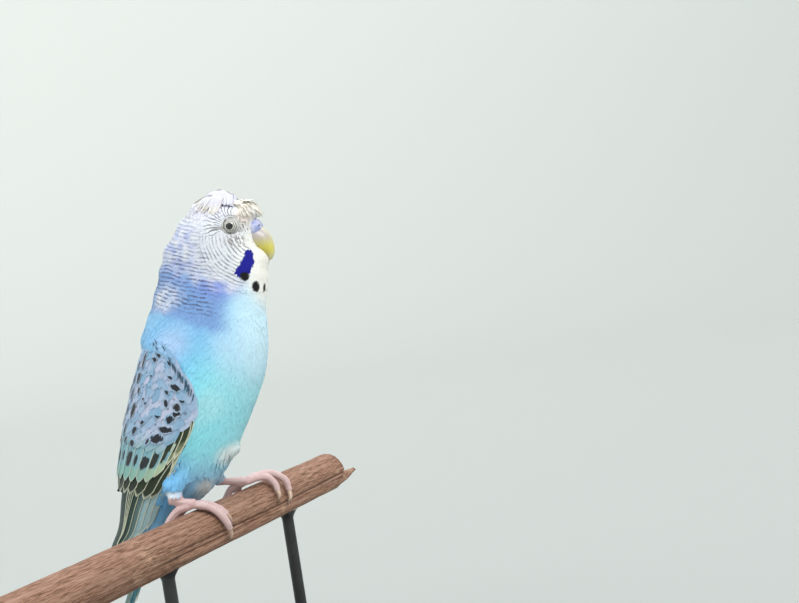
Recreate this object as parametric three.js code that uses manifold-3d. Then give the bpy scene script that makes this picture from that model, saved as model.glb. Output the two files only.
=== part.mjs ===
// A budgerigar standing on a cut length of wooden perch, held by a plain display stand.
// Millimetres, +Z up. The bird faces +X and its right side is towards -Y.
// The origin is the centre of the underside of the stand's base.
import * as THREE from 'three';
import { mergeVertices } from 'three/addons/utils/BufferGeometryUtils.js';
import Module from 'manifold-3d';

const wasm = await Module();
wasm.setup();

// Driving dimensions
const gap = 0.3;
const perchTop = 96;
const perchRadius = 9.25;
const perchHeading = new THREE.Vector3(0.319, 0.948, 0).normalize();
const perchNear = -136;
const perchFar = 97;
const endRound = 5;
const baseRadius = 62;
const baseThickness = 11;
const baseChamfer = 1.5;
const rodRadius = 2.6;
const rodFootRadius = 7;
const rodFootHeight = 3;
const rodPlaces = [-44, 50];
const rodSaddle = 5;

const eyeRadius = 3.1;
const eyeCentre = { x: 24.6, z: 111.8, side: 9.1 };
const wingThickness = 2.9;
const wingEdge = 0.8;
const primaryThickness = 1.5;
const featherTip = 0.6;
const lockTip = 0.56;
const knuckleRadius = 2.35;
const toeThick = 1.85;
const toeThin = 1.45;
const clawThick = 1.05;
const clawPoint = 0.25;

// Small mathematics shared by all the shapes
const clamp01 = (x) => Math.min(1, Math.max(0, x));
const mix = (a, b, t) => a + (b - a) * t;
const smooth = (x) => {
  const t = clamp01(x);
  return t * t * (3 - 2 * t);
};

// A smooth curve through equally spaced values, read at t from 0 to values.length - 1
function through(values, t) {
  const last = values.length - 1;
  const i = Math.min(last - 1, Math.max(0, Math.floor(t)));
  const f = t - i;
  const p1 = values[i];
  const p2 = values[i + 1];
  const p0 = i > 0 ? values[i - 1] : 2 * p1 - p2;
  const p3 = i + 2 <= last ? values[i + 2] : 2 * p2 - p1;
  const m1 = (p2 - p0) / 2;
  const m2 = (p3 - p1) / 2;
  const f2 = f * f;
  const f3 = f2 * f;
  return (2 * f3 - 3 * f2 + 1) * p1 + (f3 - 2 * f2 + f) * m1 + (3 * f2 - 2 * f3) * p2 + (f3 - f2) * m2;
}

// Closed meshes from rings of points, with flat or pointed ends
function signedVolume(points, faces) {
  let volume = 0;
  const cross = new THREE.Vector3();
  for (const [a, b, c] of faces) {
    cross.crossVectors(points[b], points[c]);
    volume += points[a].dot(cross) / 6;
  }
  return volume;
}

function meshOf(points, faces) {
  const outward = signedVolume(points, faces) > 0;
  const geometry = new THREE.BufferGeometry();
  const position = points.flatMap((p) => [p.x, p.y, p.z]);
  const index = faces.flatMap(([a, b, c]) => (outward ? [a, b, c] : [a, c, b]));
  geometry.setAttribute('position', new THREE.Float32BufferAttribute(position, 3));
  geometry.setIndex(index);
  return geometry;
}

function centreOf(ring) {
  const sum = new THREE.Vector3();
  for (const p of ring) sum.add(p);
  return sum.divideScalar(ring.length);
}

function sideFaces(rings) {
  const count = rings[0].length;
  const faces = [];
  for (let r = 0; r + 1 < rings.length; r += 1) {
    for (let k = 0; k < count; k += 1) {
      const next = (k + 1) % count;
      const a = r * count + k;
      const b = r * count + next;
      faces.push([a, b, a + count], [b, b + count, a + count]);
    }
  }
  return faces;
}

// A curved plate: each ring runs out along one face and back along the other
function plate(rings) {
  const count = rings[0].length;
  const faces = sideFaces(rings);
  for (const [first, atStart] of [[0, true], [(rings.length - 1) * count, false]]) {
    for (let k = 0; k + 1 < count / 2; k += 1) {
      const a = first + k;
      const d = first + count - 1 - k;
      const ends = [[a, d, a + 1], [a + 1, d, d - 1]];
      for (const [x, y, z] of ends) faces.push(atStart ? [x, y, z] : [x, z, y]);
    }
  }
  return meshOf(rings.flat(), faces);
}

function loft(rings, startPoint = null, endPoint = null) {
  const count = rings[0].length;
  const points = rings.flat();
  const faces = sideFaces(rings);
  const ends = [[startPoint ?? centreOf(rings[0]), 0, true]];
  ends.push([endPoint ?? centreOf(rings[rings.length - 1]), (rings.length - 1) * count, false]);
  for (const [pole, first, atStart] of ends) {
    points.push(pole);
    const p = points.length - 1;
    for (let k = 0; k < count; k += 1) {
      const a = first + k;
      const b = first + ((k + 1) % count);
      faces.push(atStart ? [p, b, a] : [p, a, b]);
    }
  }
  return meshOf(points, faces);
}

// Joins and cuts
function solidOf(geometry) {
  const bare = geometry.clone();
  bare.deleteAttribute('normal');
  bare.deleteAttribute('uv');
  const merged = mergeVertices(bare, 1e-4);
  const vertProperties = new Float32Array(merged.attributes.position.array);
  const triVerts = new Uint32Array(merged.index.array);
  return new wasm.Manifold(new wasm.Mesh({ numProp: 3, vertProperties, triVerts }));
}

function geometryOf(solid) {
  const mesh = solid.getMesh();
  const position = new Float32Array(mesh.numVert * 3);
  for (let v = 0; v < mesh.numVert; v += 1) {
    for (let c = 0; c < 3; c += 1) position[v * 3 + c] = mesh.vertProperties[v * mesh.numProp + c];
  }
  const geometry = new THREE.BufferGeometry();
  geometry.setAttribute('position', new THREE.BufferAttribute(position, 3));
  geometry.setIndex(Array.from(mesh.triVerts));
  return geometry;
}

function largestPiece(solid) {
  const pieces = solid.decompose();
  pieces.sort((a, b) => b.volume() - a.volume());
  return pieces[0];
}

function cutBy(geometry, cutters) {
  let solid = solidOf(geometry);
  for (const cutter of cutters) solid = solid.subtract(solidOf(cutter));
  return geometryOf(largestPiece(solid));
}

function joined(geometries) {
  let solid = solidOf(geometries[0]);
  for (const other of geometries.slice(1)) solid = solid.add(solidOf(other));
  return geometryOf(largestPiece(solid));
}

// The body's form: each level has a point on the back, one on the front and a half width.
// Points are [x, z] in the bird's middle plane, measured from the top of the perch.
const bodyLevels = [
  { name: 'tail root', back: [-39.5, -9], front: [-26.5, -15.5], half: 8.8 },
  { name: 'vent', back: [-40.2, 2], front: [-18.5, -5], half: 12 },
  { name: 'lower belly', back: [-39.6, 12], front: [-7, 2], half: 15.4 },
  { name: 'belly', back: [-37, 24], front: [2.4, 10], half: 19.2 },
  { name: 'flank', back: [-32.8, 37], front: [10.8, 21.5], half: 22 },
  { name: 'keel', back: [-29, 50], front: [18.6, 34], half: 23.2 },
  { name: 'breast', back: [-24, 62], front: [25.4, 46], half: 23.4 },
  { name: 'shoulder', back: [-19.8, 73], front: [29.8, 58], half: 22.2 },
  { name: 'upper breast', back: [-16, 82], front: [31.4, 67.5], half: 19.6 },
  { name: 'lower neck', back: [-13, 89.6], front: [31.6, 75.5], half: 17 },
  { name: 'throat', back: [-10.4, 96.8], front: [33, 82], half: 15 },
  { name: 'cheek', back: [-7.4, 104.2], front: [35.2, 88.6], half: 14 },
  { name: 'chin', back: [-3.4, 110.8], front: [35, 95.4], half: 13.6 },
  { name: 'face', back: [1.6, 116.2], front: [33.2, 102], half: 13.1 },
  { name: 'brow', back: [7.6, 119.8], front: [32.8, 109], half: 12 },
  { name: 'forehead', back: [14.8, 121.6], front: [32.8, 115.2], half: 10 },
  { name: 'crown', back: [21.8, 121.7], front: [30.6, 119.2], half: 6 },
];
const levelAt = (name) => bodyLevels.findIndex((level) => level.name === name);
const crownPoint = new THREE.Vector3(26.6, 0, 121.3);

// The folded wings lie in a cloak round the body, which runs on past it to the wing tips.
const cloakLevels = [
  { name: 'wing tip', back: [-55, -23], front: [-51.5, -23.5], half: 2.2 },
  { name: 'long primaries', back: [-51.2, -14], front: [-35, -18], half: 8 },
  { name: 'primaries', back: [-45.9, -4], front: [-24, -11.5], half: 12.4 },
  { name: 'secondaries', back: [-43.2, 8], front: [-15, -2], half: 15.4 },
  { name: 'rump', back: [-40.8, 20], front: [-3, 6], half: 19.2 },
  { name: 'lower back', back: [-37, 32.5], front: [7, 16.5], half: 22 },
  { name: 'middle back', back: [-32.2, 45], front: [15.6, 29], half: 23.8 },
  { name: 'upper back', back: [-27.2, 57], front: [22.5, 41], half: 24.4 },
  { name: 'wing bend', back: [-23, 67.5], front: [27.6, 51.5], half: 23.8 },
  { name: 'scapulars', back: [-19.3, 76], front: [30.8, 61.5], half: 22 },
];
const cloakAt = (name) => cloakLevels.findIndex((level) => level.name === name);
// How far the wing reaches round the body at each of those levels: -1 is the back, 1 the breast.
const wingUpper = [-0.6, -0.9, -0.94, -0.955, -0.965, -0.965, -0.955, -0.93, -0.88, -0.8];
const wingLower = [0.5, 0.66, 0.6, 0.52, 0.36, 0.36, 0.45, 0.3, -0.1, -0.72];

function frameOf(levels, t) {
  const read = (pick) => through(levels.map(pick), t);
  const back = new THREE.Vector3(read((l) => l.back[0]), 0, read((l) => l.back[1]));
  const front = new THREE.Vector3(read((l) => l.front[0]), 0, read((l) => l.front[1]));
  const centre = back.clone().add(front).multiplyScalar(0.5);
  const forward = front.clone().sub(back);
  const depth = forward.length() / 2;
  return { centre, forward: forward.normalize(), depth, half: read((l) => l.half) };
}

// A point of the form: turn is 0 at the breast and PI at the back, side is 1 or -1
function pointOn(levels, t, turn, side, out) {
  const frame = frameOf(levels, t);
  const u = frame.depth * Math.cos(turn);
  const w = frame.half * Math.sin(turn);
  const normal = new THREE.Vector2(u / frame.depth ** 2, w / frame.half ** 2).normalize();
  const point = frame.centre.clone().addScaledVector(frame.forward, u + out * normal.x);
  point.y = side * (w + out * normal.y);
  return point;
}

const ringSides = 26;
function bodyRing(levels, t, out) {
  const ring = [];
  for (let k = 0; k < ringSides; k += 1) {
    const turn = (2 * Math.PI * k) / ringSides;
    const folded = turn > Math.PI ? 2 * Math.PI - turn : turn;
    ring.push(pointOn(levels, t, folded, turn > Math.PI ? -1 : 1, out));
  }
  return ring;
}

function bodyLength(from, to, steps, out = 0, endPoint = null) {
  const rings = [];
  for (let i = 0; i <= steps; i += 1) rings.push(bodyRing(bodyLevels, mix(from, to, i / steps), out));
  return loft(rings, null, endPoint);
}

// Wings. Neighbouring levels of the cloak are about levelSpacing apart, near enough for a clearance.
const levelSpacing = 11;
function wingPatch(side, from, to, steps, outAt, thicknessAt, grow = 0) {
  const across = 7;
  const slack = grow / levelSpacing;
  const rings = [];
  for (let i = 0; i <= steps; i += 1) {
    const push = i === 0 ? -slack : i === steps ? slack : 0;
    const t = mix(from, to, i / steps) + push;
    const upper = Math.acos(through(wingUpper, t));
    const lower = Math.acos(through(wingLower, t));
    const turnGrow = grow / through(cloakLevels.map((l) => l.half), t);
    const ring = [];
    for (let k = 0; k <= across; k += 1) {
      const f = k / across;
      const turn = mix(upper + turnGrow, lower - turnGrow, f);
      ring.push(pointOn(cloakLevels, t, Math.min(turn, Math.PI), side, outAt(t, f) + grow));
    }
    for (let k = across; k >= 0; k -= 1) {
      const f = k / across;
      const turn = mix(upper + turnGrow, lower - turnGrow, f);
      const depth = outAt(t, f) - thicknessAt(t, f) - grow;
      ring.push(pointOn(cloakLevels, t, Math.min(turn, Math.PI), side, depth));
    }
    rings.push(ring);
  }
  return plate(rings);
}

const wingSteps = 12;
const primarySteps = 8;
const primaryTip = 0.05;
const bow = (f) => Math.sqrt(Math.max(0, 1 - (2 * f - 1) ** 4));
const secondaryEnd = cloakAt('secondaries') + 0.06;
const wingTop = cloakAt('scapulars') - 0.12;
const wingLift = (t, f) => 0.5 + 0.7 * smooth((f - 0.5) * 2) * smooth((wingTop - t) / 2);
const wingDeep = (t, f) => mix(wingEdge, wingThickness, bow(f) * smooth((wingTop - t) * 1.4 + 0.25));
const tipLift = (t) => mix(-0.6, -1.1, smooth(secondaryEnd - t));
const tipDeep = (t, f) => mix(featherTip, primaryThickness, bow(f) * smooth(t / 2 + 0.15));

function wing(side, grow = 0) {
  return wingPatch(side, secondaryEnd, wingTop, wingSteps, wingLift, wingDeep, grow);
}

function primaries(side, grow = 0) {
  const start = secondaryEnd - gap / levelSpacing;
  return wingPatch(side, primaryTip, start, primarySteps, tipLift, tipDeep, grow);
}

// Tail
const tailRoot = new THREE.Vector3(-29.5, 0, -8);
const tailTip = new THREE.Vector3(-60.5, 0, -68);
const tailDeep = [6, 5.6, 4.4, 2.6, 1.5, 1.3, 1.1, 0.9, 0.5];
const tailHalf = [8.6, 9.6, 9.8, 9.3, 8.2, 6.8, 5.2, 3.6, 1.7];
const tailArch = 0.8;

function tail() {
  const axis = tailTip.clone().sub(tailRoot);
  const along = axis.clone().normalize();
  const forward = new THREE.Vector3(-along.z, 0, along.x);
  const steps = 12;
  const start = 0.12;
  const sides = 12;
  const rings = [];
  for (let i = 0; i <= steps; i += 1) {
    const f = mix(start, 1, i / steps);
    const deep = through(tailDeep, f * (tailDeep.length - 1));
    const half = through(tailHalf, f * (tailHalf.length - 1));
    const ring = [];
    for (let k = 0; k < sides; k += 1) {
      const turn = (2 * Math.PI * k) / sides;
      const point = tailRoot.clone().addScaledVector(axis, f);
      point.addScaledVector(forward, deep * Math.cos(turn) - tailArch * Math.abs(Math.sin(turn)));
      point.y = half * Math.sin(turn);
      ring.push(point);
    }
    rings.push(ring);
  }
  return loft(rings);
}

// Round limbs, toes, claws and crest feathers: a section that follows a path
function limb(points, radii, sides, steps, flat = 1, from = 0, to = 1) {
  const path = new THREE.CatmullRomCurve3(points, false, 'centripetal');
  const up = new THREE.Vector3(0, 0, 1);
  const rings = [];
  for (let i = 0; i <= steps; i += 1) {
    const f = mix(from, to, i / steps);
    const centre = path.getPoint(f);
    const ahead = path.getTangent(f);
    const across = new THREE.Vector3().crossVectors(ahead, up);
    if (across.lengthSq() < 1e-6) across.set(0, 1, 0);
    across.normalize();
    const rise = new THREE.Vector3().crossVectors(across, ahead).normalize();
    const radius = through(radii, f * (radii.length - 1));
    const ring = [];
    for (let k = 0; k < sides; k += 1) {
      const turn = (2 * Math.PI * k) / sides;
      const point = centre.clone().addScaledVector(across, radius * Math.cos(turn));
      ring.push(point.addScaledVector(rise, radius * flat * Math.sin(turn)));
    }
    rings.push(ring);
  }
  return loft(rings);
}

// A place on or over the perch: along it, round it from the top towards the front, and above it
const perchSide = new THREE.Vector3(perchHeading.y, -perchHeading.x, 0);
function onPerch([along, degrees, above]) {
  const turn = THREE.MathUtils.degToRad(degrees);
  const point = perchHeading.clone().multiplyScalar(along);
  point.z -= perchRadius;
  point.addScaledVector(perchSide, (perchRadius + above) * Math.sin(turn));
  point.z += (perchRadius + above) * Math.cos(turn);
  return point;
}

// Feet: two toes reach forwards over the perch and two back, as on all parrots
const feet = {
  right: {
    heel: new THREE.Vector3(-15.6, -20.3, 5.6),
    knuckle: [-20.2, -2, 3.1],
    thigh: [[-5, -9.5, 25], [-10.6, -14, 15.5], [-14.9, -19.6, 7.4]],
    toes: {
      outer_front: [[-20.2, 2, 2.6], [-18.3, 27, 2.5], [-16.4, 51, 2.2], [-14.9, 74, 2.0], [-13.9, 88, 1.9]],
      inner_front: [[-19.4, 2, 2.5], [-16.7, 24, 2.3], [-14.1, 44, 2.0], [-12.7, 58, 1.9]],
      outer_back: [[-20.9, -5, 2.5], [-23.2, -30, 2.3], [-25.1, -58, 2.0], [-26.4, -80, 1.9]],
      inner_back: [[-19.7, -6, 2.5], [-18.8, -32, 2.2], [-18.2, -56, 1.9]],
    },
    claws: {
      outer_front: [[-13.8, 90, 1.9], [-13.1, 106, 2.3], [-12.6, 122, 1.2]],
      inner_front: [[-12.6, 60, 1.9], [-11.7, 73, 2.2], [-11.2, 86, 1.1]],
      outer_back: [[-26.5, -82, 1.9], [-27.0, -98, 2.3], [-27.3, -113, 1.1]],
      inner_back: [[-18.1, -58, 1.9], [-17.9, -72, 2.2], [-17.8, -85, 1.1]],
    },
  },
  left: {
    heel: new THREE.Vector3(-6.4, 15.6, 5.0),
    knuckle: [20.4, -3, 3.1],
    thigh: [[0.8, 8.5, 25.5], [-2, 12, 16], [-5.8, 15, 7.2]],
    toes: {
      inner_front: [[21, 1, 2.6], [26.2, 8, 3.0], [30.2, 24, 3.0], [30.4, 46, 2.3], [29.4, 60, 1.9]],
      outer_front: [[21.2, -4, 2.6], [28.4, 1, 3.1], [35.2, 19, 3.4], [38.3, 47, 2.7], [37.7, 70, 1.9]],
      inner_back: [[20, -8, 2.5], [18.7, -34, 2.2], [17.7, -58, 1.9]],
      outer_back: [[21.6, -9, 2.5], [25.2, -36, 2.3], [27.5, -62, 2.0], [28.5, -82, 1.9]],
    },
    claws: {
      inner_front: [[29.2, 62, 1.9], [28.3, 73, 2.2], [27.5, 84, 1.1]],
      outer_front: [[37.5, 72, 1.9], [36.3, 87, 2.3], [35.1, 101, 1.1]],
      inner_back: [[17.6, -60, 1.9], [17.2, -74, 2.2], [17.0, -87, 1.1]],
      outer_back: [[28.6, -84, 1.9], [29.0, -99, 2.3], [29.3, -113, 1.1]],
    },
  },
};

const thighRadii = [8.4, 6.4, 3.2];
const tarsusRadii = [1.9, 1.7, 2.2];
function thigh(side, grow = 0) {
  const points = feet[side].thigh.map((p) => new THREE.Vector3(...p));
  return limb(points, thighRadii.map((r) => r + grow), 10, 5);
}

function foot(side) {
  const { heel, knuckle, toes } = feet[side];
  const tarsus = limb([heel, onPerch(knuckle)], tarsusRadii, 7, 2);
  const fingers = Object.values(toes).map((places) => {
    const radii = [toeThick, toeThick, mix(toeThick, toeThin, 0.5), toeThin];
    return limb(places.map(onPerch), radii, 6, 6, 0.95);
  });
  const knob = ball(knuckleRadius, onPerch(knuckle).toArray(), [1, 1, 1], 0, 8, 6);
  return joined([tarsus, knob, ...fingers]);
}

function claw(side, name) {
  const points = feet[side].claws[name].map(onPerch);
  return limb(points, [clawThick, clawThick * 0.8, clawPoint], 6, 4);
}

// Beak and cere
function beakUpper(grow = 0) {
  const places = [[31.2, 107.2], [34.6, 104.6], [36.7, 101], [37.2, 97.9], [36.6, 95.9]];
  const deep = [3.4, 3.5, 2.7, 1.5, 0.35];
  const half = [4.5, 4.3, 3.3, 1.7, 0.35];
  return bill(places, deep, half, 8, grow);
}

function beakLower(grow = 0) {
  const places = [[29.8, 103], [32.4, 100.2], [34.6, 98], [35.4, 96.9]];
  const deep = [2.4, 2.4, 1.9, 0.8];
  const half = [3.7, 3.4, 2.6, 1.2];
  return bill(places, deep, half, 4, grow);
}

function bill(places, deep, half, steps, grow) {
  const path = new THREE.CatmullRomCurve3(places.map(([x, z]) => new THREE.Vector3(x, 0, z)));
  const sides = 12;
  const rings = [];
  for (let i = 0; i <= steps; i += 1) {
    const f = i / steps;
    const centre = path.getPoint(f);
    const ahead = path.getTangent(f);
    const forward = new THREE.Vector3(-ahead.z, 0, ahead.x);
    const d = through(deep, f * (deep.length - 1)) + grow;
    const h = through(half, f * (half.length - 1)) + grow;
    const ring = [];
    for (let k = 0; k < sides; k += 1) {
      const turn = (2 * Math.PI * k) / sides;
      const point = centre.clone().addScaledVector(forward, d * Math.cos(turn));
      point.y = h * Math.sin(turn);
      ring.push(point);
    }
    rings.push(ring);
  }
  return loft(rings);
}

function ball(radius, place, stretch, turn = 0, sides = 12, rings = 8) {
  const geometry = new THREE.SphereGeometry(radius, sides, rings);
  geometry.scale(...stretch);
  geometry.rotateY(turn);
  geometry.translate(...place);
  return geometry;
}

const cereShape = { place: [32.6, 0, 110], stretch: [3.9, 4.7, 3.4], turn: 0.5 };
function cere(grow = 0) {
  const { place, stretch, turn } = cereShape;
  return ball(1, place, stretch.map((s) => s + grow), turn);
}

function eye(side, grow = 0) {
  return ball(eyeRadius + grow, [eyeCentre.x, side * eyeCentre.side, eyeCentre.z], [1, 1, 1]);
}

// Crest: a rosette of feather locks that part from the crown
const crestRoot = new THREE.Vector3(25.8, 0, 120.4);
function crestLock(heading, reach, rise, droop, thick) {
  const outward = new THREE.Vector3(Math.cos(heading), Math.sin(heading), 0);
  const spots = [0, 0.35, 0.7, 1].map((f) => {
    const point = crestRoot.clone().addScaledVector(outward, reach * f);
    point.z += rise * Math.sin(Math.PI * Math.min(1, f * 1.15)) - droop * f * f;
    return point;
  });
  return limb(spots, [thick, thick * 1.25, thick, lockTip], 6, 3, 0.5);
}

function crest() {
  const locks = [];
  const fringeCount = 5;
  for (let i = 0; i < fringeCount; i += 1) {
    const heading = mix(-1.35, 1.35, i / (fringeCount - 1));
    const reach = 11.8 - 2.2 * Math.abs(heading);
    locks.push(crestLock(heading, reach, 2.2, 5.4, 2.5));
  }
  const napeCount = 4;
  for (let i = 0; i < napeCount; i += 1) {
    const heading = Math.PI + mix(-0.75, 0.75, i / (napeCount - 1));
    locks.push(crestLock(heading, 20.5 - 3 * Math.abs(heading - Math.PI), 3.4, 1.4, 2.6));
  }
  for (const heading of [Math.PI - 0.55, Math.PI, Math.PI + 0.55]) {
    locks.push(crestLock(heading, 10.2, 5.4, -5, 3));
  }
  return joined(locks);
}

// Perch: a weathered round stick with a split lip that runs on past its far end
function perch(grow = 0) {
  const sides = 14;
  const body = perchFar - endRound - perchNear;
  const steps = 7;
  const bends = 3;
  const places = [];
  for (let i = 0; i <= steps; i += 1) places.push([perchNear + (body * i) / steps, 1]);
  for (let i = 1; i <= bends; i += 1) {
    const bend = (0.42 * Math.PI * i) / bends;
    places.push([perchFar - endRound + endRound * Math.sin(bend), Math.cos(bend)]);
  }
  const rings = [];
  for (const [along, narrow] of places) {
    const f = (along - perchNear) / body;
    const sway = 0.16 * Math.sin(9 * f) + 0.1 * Math.sin(23 * f + 1);
    const ring = [];
    for (let k = 0; k < sides; k += 1) {
      const turn = (2 * Math.PI * k) / sides;
      const knurl = -0.22 + 0.12 * Math.sin(3 * turn + 7 * f) + sway * 0.5;
      const radius = perchRadius + (grow > 0 ? grow : knurl) - endRound * (1 - narrow);
      const point = perchHeading.clone().multiplyScalar(along);
      point.addScaledVector(perchSide, radius * Math.sin(turn));
      point.z += radius * Math.cos(turn) - perchRadius;
      ring.push(point);
    }
    rings.push(ring);
  }
  return loft(rings);
}

function perchLip() {
  const points = [-70, -20, 40, 90, 112].map((along) => {
    const slip = along > 90 ? 3.5 : 0;
    return onPerch([along, 128, -2.6 - slip * 0.4]);
  });
  return limb(points, [1.2, 3.1, 3.4, 3.2, 1.1], 6, 6, 0.8);
}

// Stand
function standBase() {
  const profile = [
    [0, 0],
    [baseRadius - baseChamfer, 0],
    [baseRadius, baseChamfer],
    [baseRadius, baseThickness - baseChamfer],
    [baseRadius - baseChamfer, baseThickness],
    [0, baseThickness],
  ];
  return new THREE.LatheGeometry(profile.map(([x, y]) => new THREE.Vector2(x, y)), 36).rotateX(Math.PI / 2);
}

function standRod(along) {
  const bottom = baseThickness + gap;
  const top = perchTop - perchRadius;
  const saddle = top - rodSaddle * 1.6;
  const profile = [
    [0, bottom],
    [rodFootRadius, bottom],
    [rodFootRadius, bottom + rodFootHeight * 0.6],
    [rodFootRadius - 1, bottom + rodFootHeight],
    [rodRadius, bottom + rodFootHeight + 1],
    [rodRadius, saddle - 4],
    [rodSaddle, saddle],
    [rodSaddle, top],
    [0, top],
  ];
  const rod = new THREE.LatheGeometry(profile.map(([x, y]) => new THREE.Vector2(x, y)), 12);
  rod.rotateX(Math.PI / 2);
  rod.translate(perchHeading.x * along, perchHeading.y * along, 0);
  const grownPerch = perch(gap);
  grownPerch.translate(0, 0, perchTop);
  return cutBy(rod, [grownPerch]);
}

// Colours by part
const finish = (color, roughness = 0.8) => new THREE.MeshStandardMaterial({ color, roughness, metalness: 0 });
const finishes = {
  blue: finish(0x8fc4e6),
  face: finish(0xe9e6da),
  crest: finish(0xeadfce),
  wing: finish(0xb3cfe0),
  flight: finish(0x2e3b33),
  tail: finish(0x58bfc4),
  cere: finish(0x7f8fd8, 0.45),
  beak: finish(0xc3b54a, 0.4),
  eye: finish(0x0b0a0a, 0.08),
  foot: finish(0xdcb4b6, 0.6),
  claw: finish(0xcbb29c, 0.45),
  wood: finish(0x8e5f4c),
  stand: finish(0x35332f, 0.5),
};

const budgerigar = new THREE.Group();
const bird = new THREE.Group();
bird.position.z = perchTop;
budgerigar.add(bird);

function add(parent, name, geometry, material) {
  geometry.computeVertexNormals();
  const mesh = new THREE.Mesh(geometry, material);
  mesh.name = name;
  parent.add(mesh);
}

// The neck is parted from the trunk and the head at these levels.
const neckBottom = levelAt('lower neck');
const neckTop = levelAt('throat') + 0.6;
const neckSlack = 0.03;
const trunkSteps = 15;
const headSteps = 11;
const neckSteps = 3;

const wingCutters = [1, -1].flatMap((side) => [wing(side, gap), primaries(side, gap)]);
const tailCutters = [1, -1].map((side) => primaries(side, gap));
const trunkWhole = bodyLength(0, neckBottom, trunkSteps);
const trunkGrown = bodyLength(0, neckBottom, trunkSteps, gap);
const crownGrown = crownPoint.clone().setZ(crownPoint.z + gap);
const headWhole = bodyLength(neckTop, levelAt('crown'), headSteps, 0, crownPoint);
const headGrown = bodyLength(neckTop, levelAt('crown'), headSteps, gap, crownGrown);
const eyeCutters = [eye(1, gap), eye(-1, gap)];

add(bird, 'trunk', cutBy(trunkWhole, wingCutters), finishes.blue);
add(bird, 'neck', bodyLength(neckBottom + neckSlack, neckTop - neckSlack, neckSteps), finishes.blue);
add(bird, 'head', cutBy(headWhole, eyeCutters), finishes.face);
add(bird, 'crest', cutBy(crest(), [headGrown]), finishes.crest);
add(bird, 'cere', cutBy(cere(), [headGrown, beakUpper(gap)]), finishes.cere);
add(bird, 'beak_upper', cutBy(beakUpper(), [headGrown]), finishes.beak);
add(bird, 'beak_lower', cutBy(beakLower(), [headGrown, beakUpper(gap)]), finishes.beak);
add(bird, 'eye_left', eye(1), finishes.eye);
add(bird, 'eye_right', eye(-1), finishes.eye);
for (const [label, side] of [['left', 1], ['right', -1]]) {
  add(bird, `wing_${label}`, wing(side), finishes.wing);
  add(bird, `primaries_${label}`, primaries(side), finishes.flight);
}
add(bird, 'tail', cutBy(tail(), [trunkGrown, ...tailCutters]), finishes.tail);
for (const label of ['left', 'right']) {
  const grownThigh = thigh(label, gap);
  add(bird, `thigh_${label}`, cutBy(thigh(label), [trunkGrown, ...wingCutters]), finishes.blue);
  add(bird, `foot_${label}`, cutBy(foot(label), [grownThigh]), finishes.foot);
  for (const name of Object.keys(feet[label].claws)) {
    add(bird, `claw_${label}_${name}`, claw(label, name), finishes.claw);
  }
}
add(bird, 'perch', joined([perch(), perchLip()]), finishes.wood);
add(budgerigar, 'stand_base', standBase(), finishes.stand);
rodPlaces.forEach((along, i) => add(budgerigar, `stand_rod_${i + 1}`, standRod(along), finishes.stand));

export default budgerigar;
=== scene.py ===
# %% [markdown]
# # A crested budgerigar on its perch
#
# This lesson builds a life-size budgerigar, feather by feather, round a plain frame of solids
# that is already at its real size and place. The frame is faceted. Everything a visitor
# sees is made here: a smooth skin, thousands of small feathers that lie on it, the big feathers of
# wings and tail, the bill, eyes and feet, and the weathered stick that the bird stands on.

# %% Load the frame
import math

import bmesh
import bpy
import numpy as np
from mathutils import Matrix, Vector, noise
from mathutils.bvhtree import BVHTree
from mathutils.kdtree import KDTree


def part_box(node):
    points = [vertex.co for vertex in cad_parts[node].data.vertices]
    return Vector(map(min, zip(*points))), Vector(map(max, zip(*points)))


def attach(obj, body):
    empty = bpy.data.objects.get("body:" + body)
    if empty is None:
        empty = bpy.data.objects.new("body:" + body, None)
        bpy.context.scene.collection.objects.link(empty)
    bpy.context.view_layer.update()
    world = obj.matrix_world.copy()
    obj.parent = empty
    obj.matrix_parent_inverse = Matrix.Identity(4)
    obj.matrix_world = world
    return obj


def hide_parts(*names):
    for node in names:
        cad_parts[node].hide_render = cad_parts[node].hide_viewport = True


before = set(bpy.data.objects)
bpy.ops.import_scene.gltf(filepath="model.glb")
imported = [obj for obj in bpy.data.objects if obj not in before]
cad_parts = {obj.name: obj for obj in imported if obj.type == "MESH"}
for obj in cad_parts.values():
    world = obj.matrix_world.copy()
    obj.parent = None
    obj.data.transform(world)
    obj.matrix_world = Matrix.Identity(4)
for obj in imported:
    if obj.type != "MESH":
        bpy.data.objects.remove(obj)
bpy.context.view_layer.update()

# %% [markdown]
# ## Working in millimetres
#
# Blender holds metres, but a bird is easier to think about in millimetres. All the bird's
# places below are in millimetres from one point: the top of the perch over the middle of the
# stand. X runs the way the bird faces, Y to its left and Z up. One function turns such places into
# metres. The eyes of the frame say how high that point is.

# %% The bird's own millimetres
MM = 0.001
EYE_HEIGHT = 111.8
eye_low, eye_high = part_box("eye_right")
PERCH_TOP = (eye_low.z + eye_high.z) / 2 / MM - EYE_HEIGHT


def metres(points):
    """Bird millimetres to metres in the frame, for one point or many."""
    return (np.asarray(points, float) + [0, 0, PERCH_TOP]) * MM


def millimetres(points):
    """Metres in the frame to bird millimetres."""
    return np.asarray(points, float) / MM - [0, 0, PERCH_TOP]


print("top of the perch", round(PERCH_TOP, 2), "mm above the shelf")

# %% [markdown]
# ## The camera
#
# A camera is set by where it stands, which way it looks and how long its lens is. Here it looks
# nearly level, from the bird's right and a little in front of it, and it is rolled by some degrees,
# as a hand-held picture often is. The lens follows from the focal length in pixels on an image 799
# wide.

# %% The camera
IMAGE_WIDTH = 799
FOCAL_PIXELS = 1287.0
SENSOR_WIDTH = 36.0
CAMERA_PLACE = (147.56, -522.75, 92.5)
CAMERA_YAW = math.radians(6.6)
CAMERA_PITCH = math.radians(-2.34)
CAMERA_ROLL = math.radians(8.7)


def placed(name, data):
    """A new object in the scene, at the origin, that shows a mesh, a camera or a light."""
    piece = bpy.data.objects.new(name, data)
    bpy.context.collection.objects.link(piece)
    return piece


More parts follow.
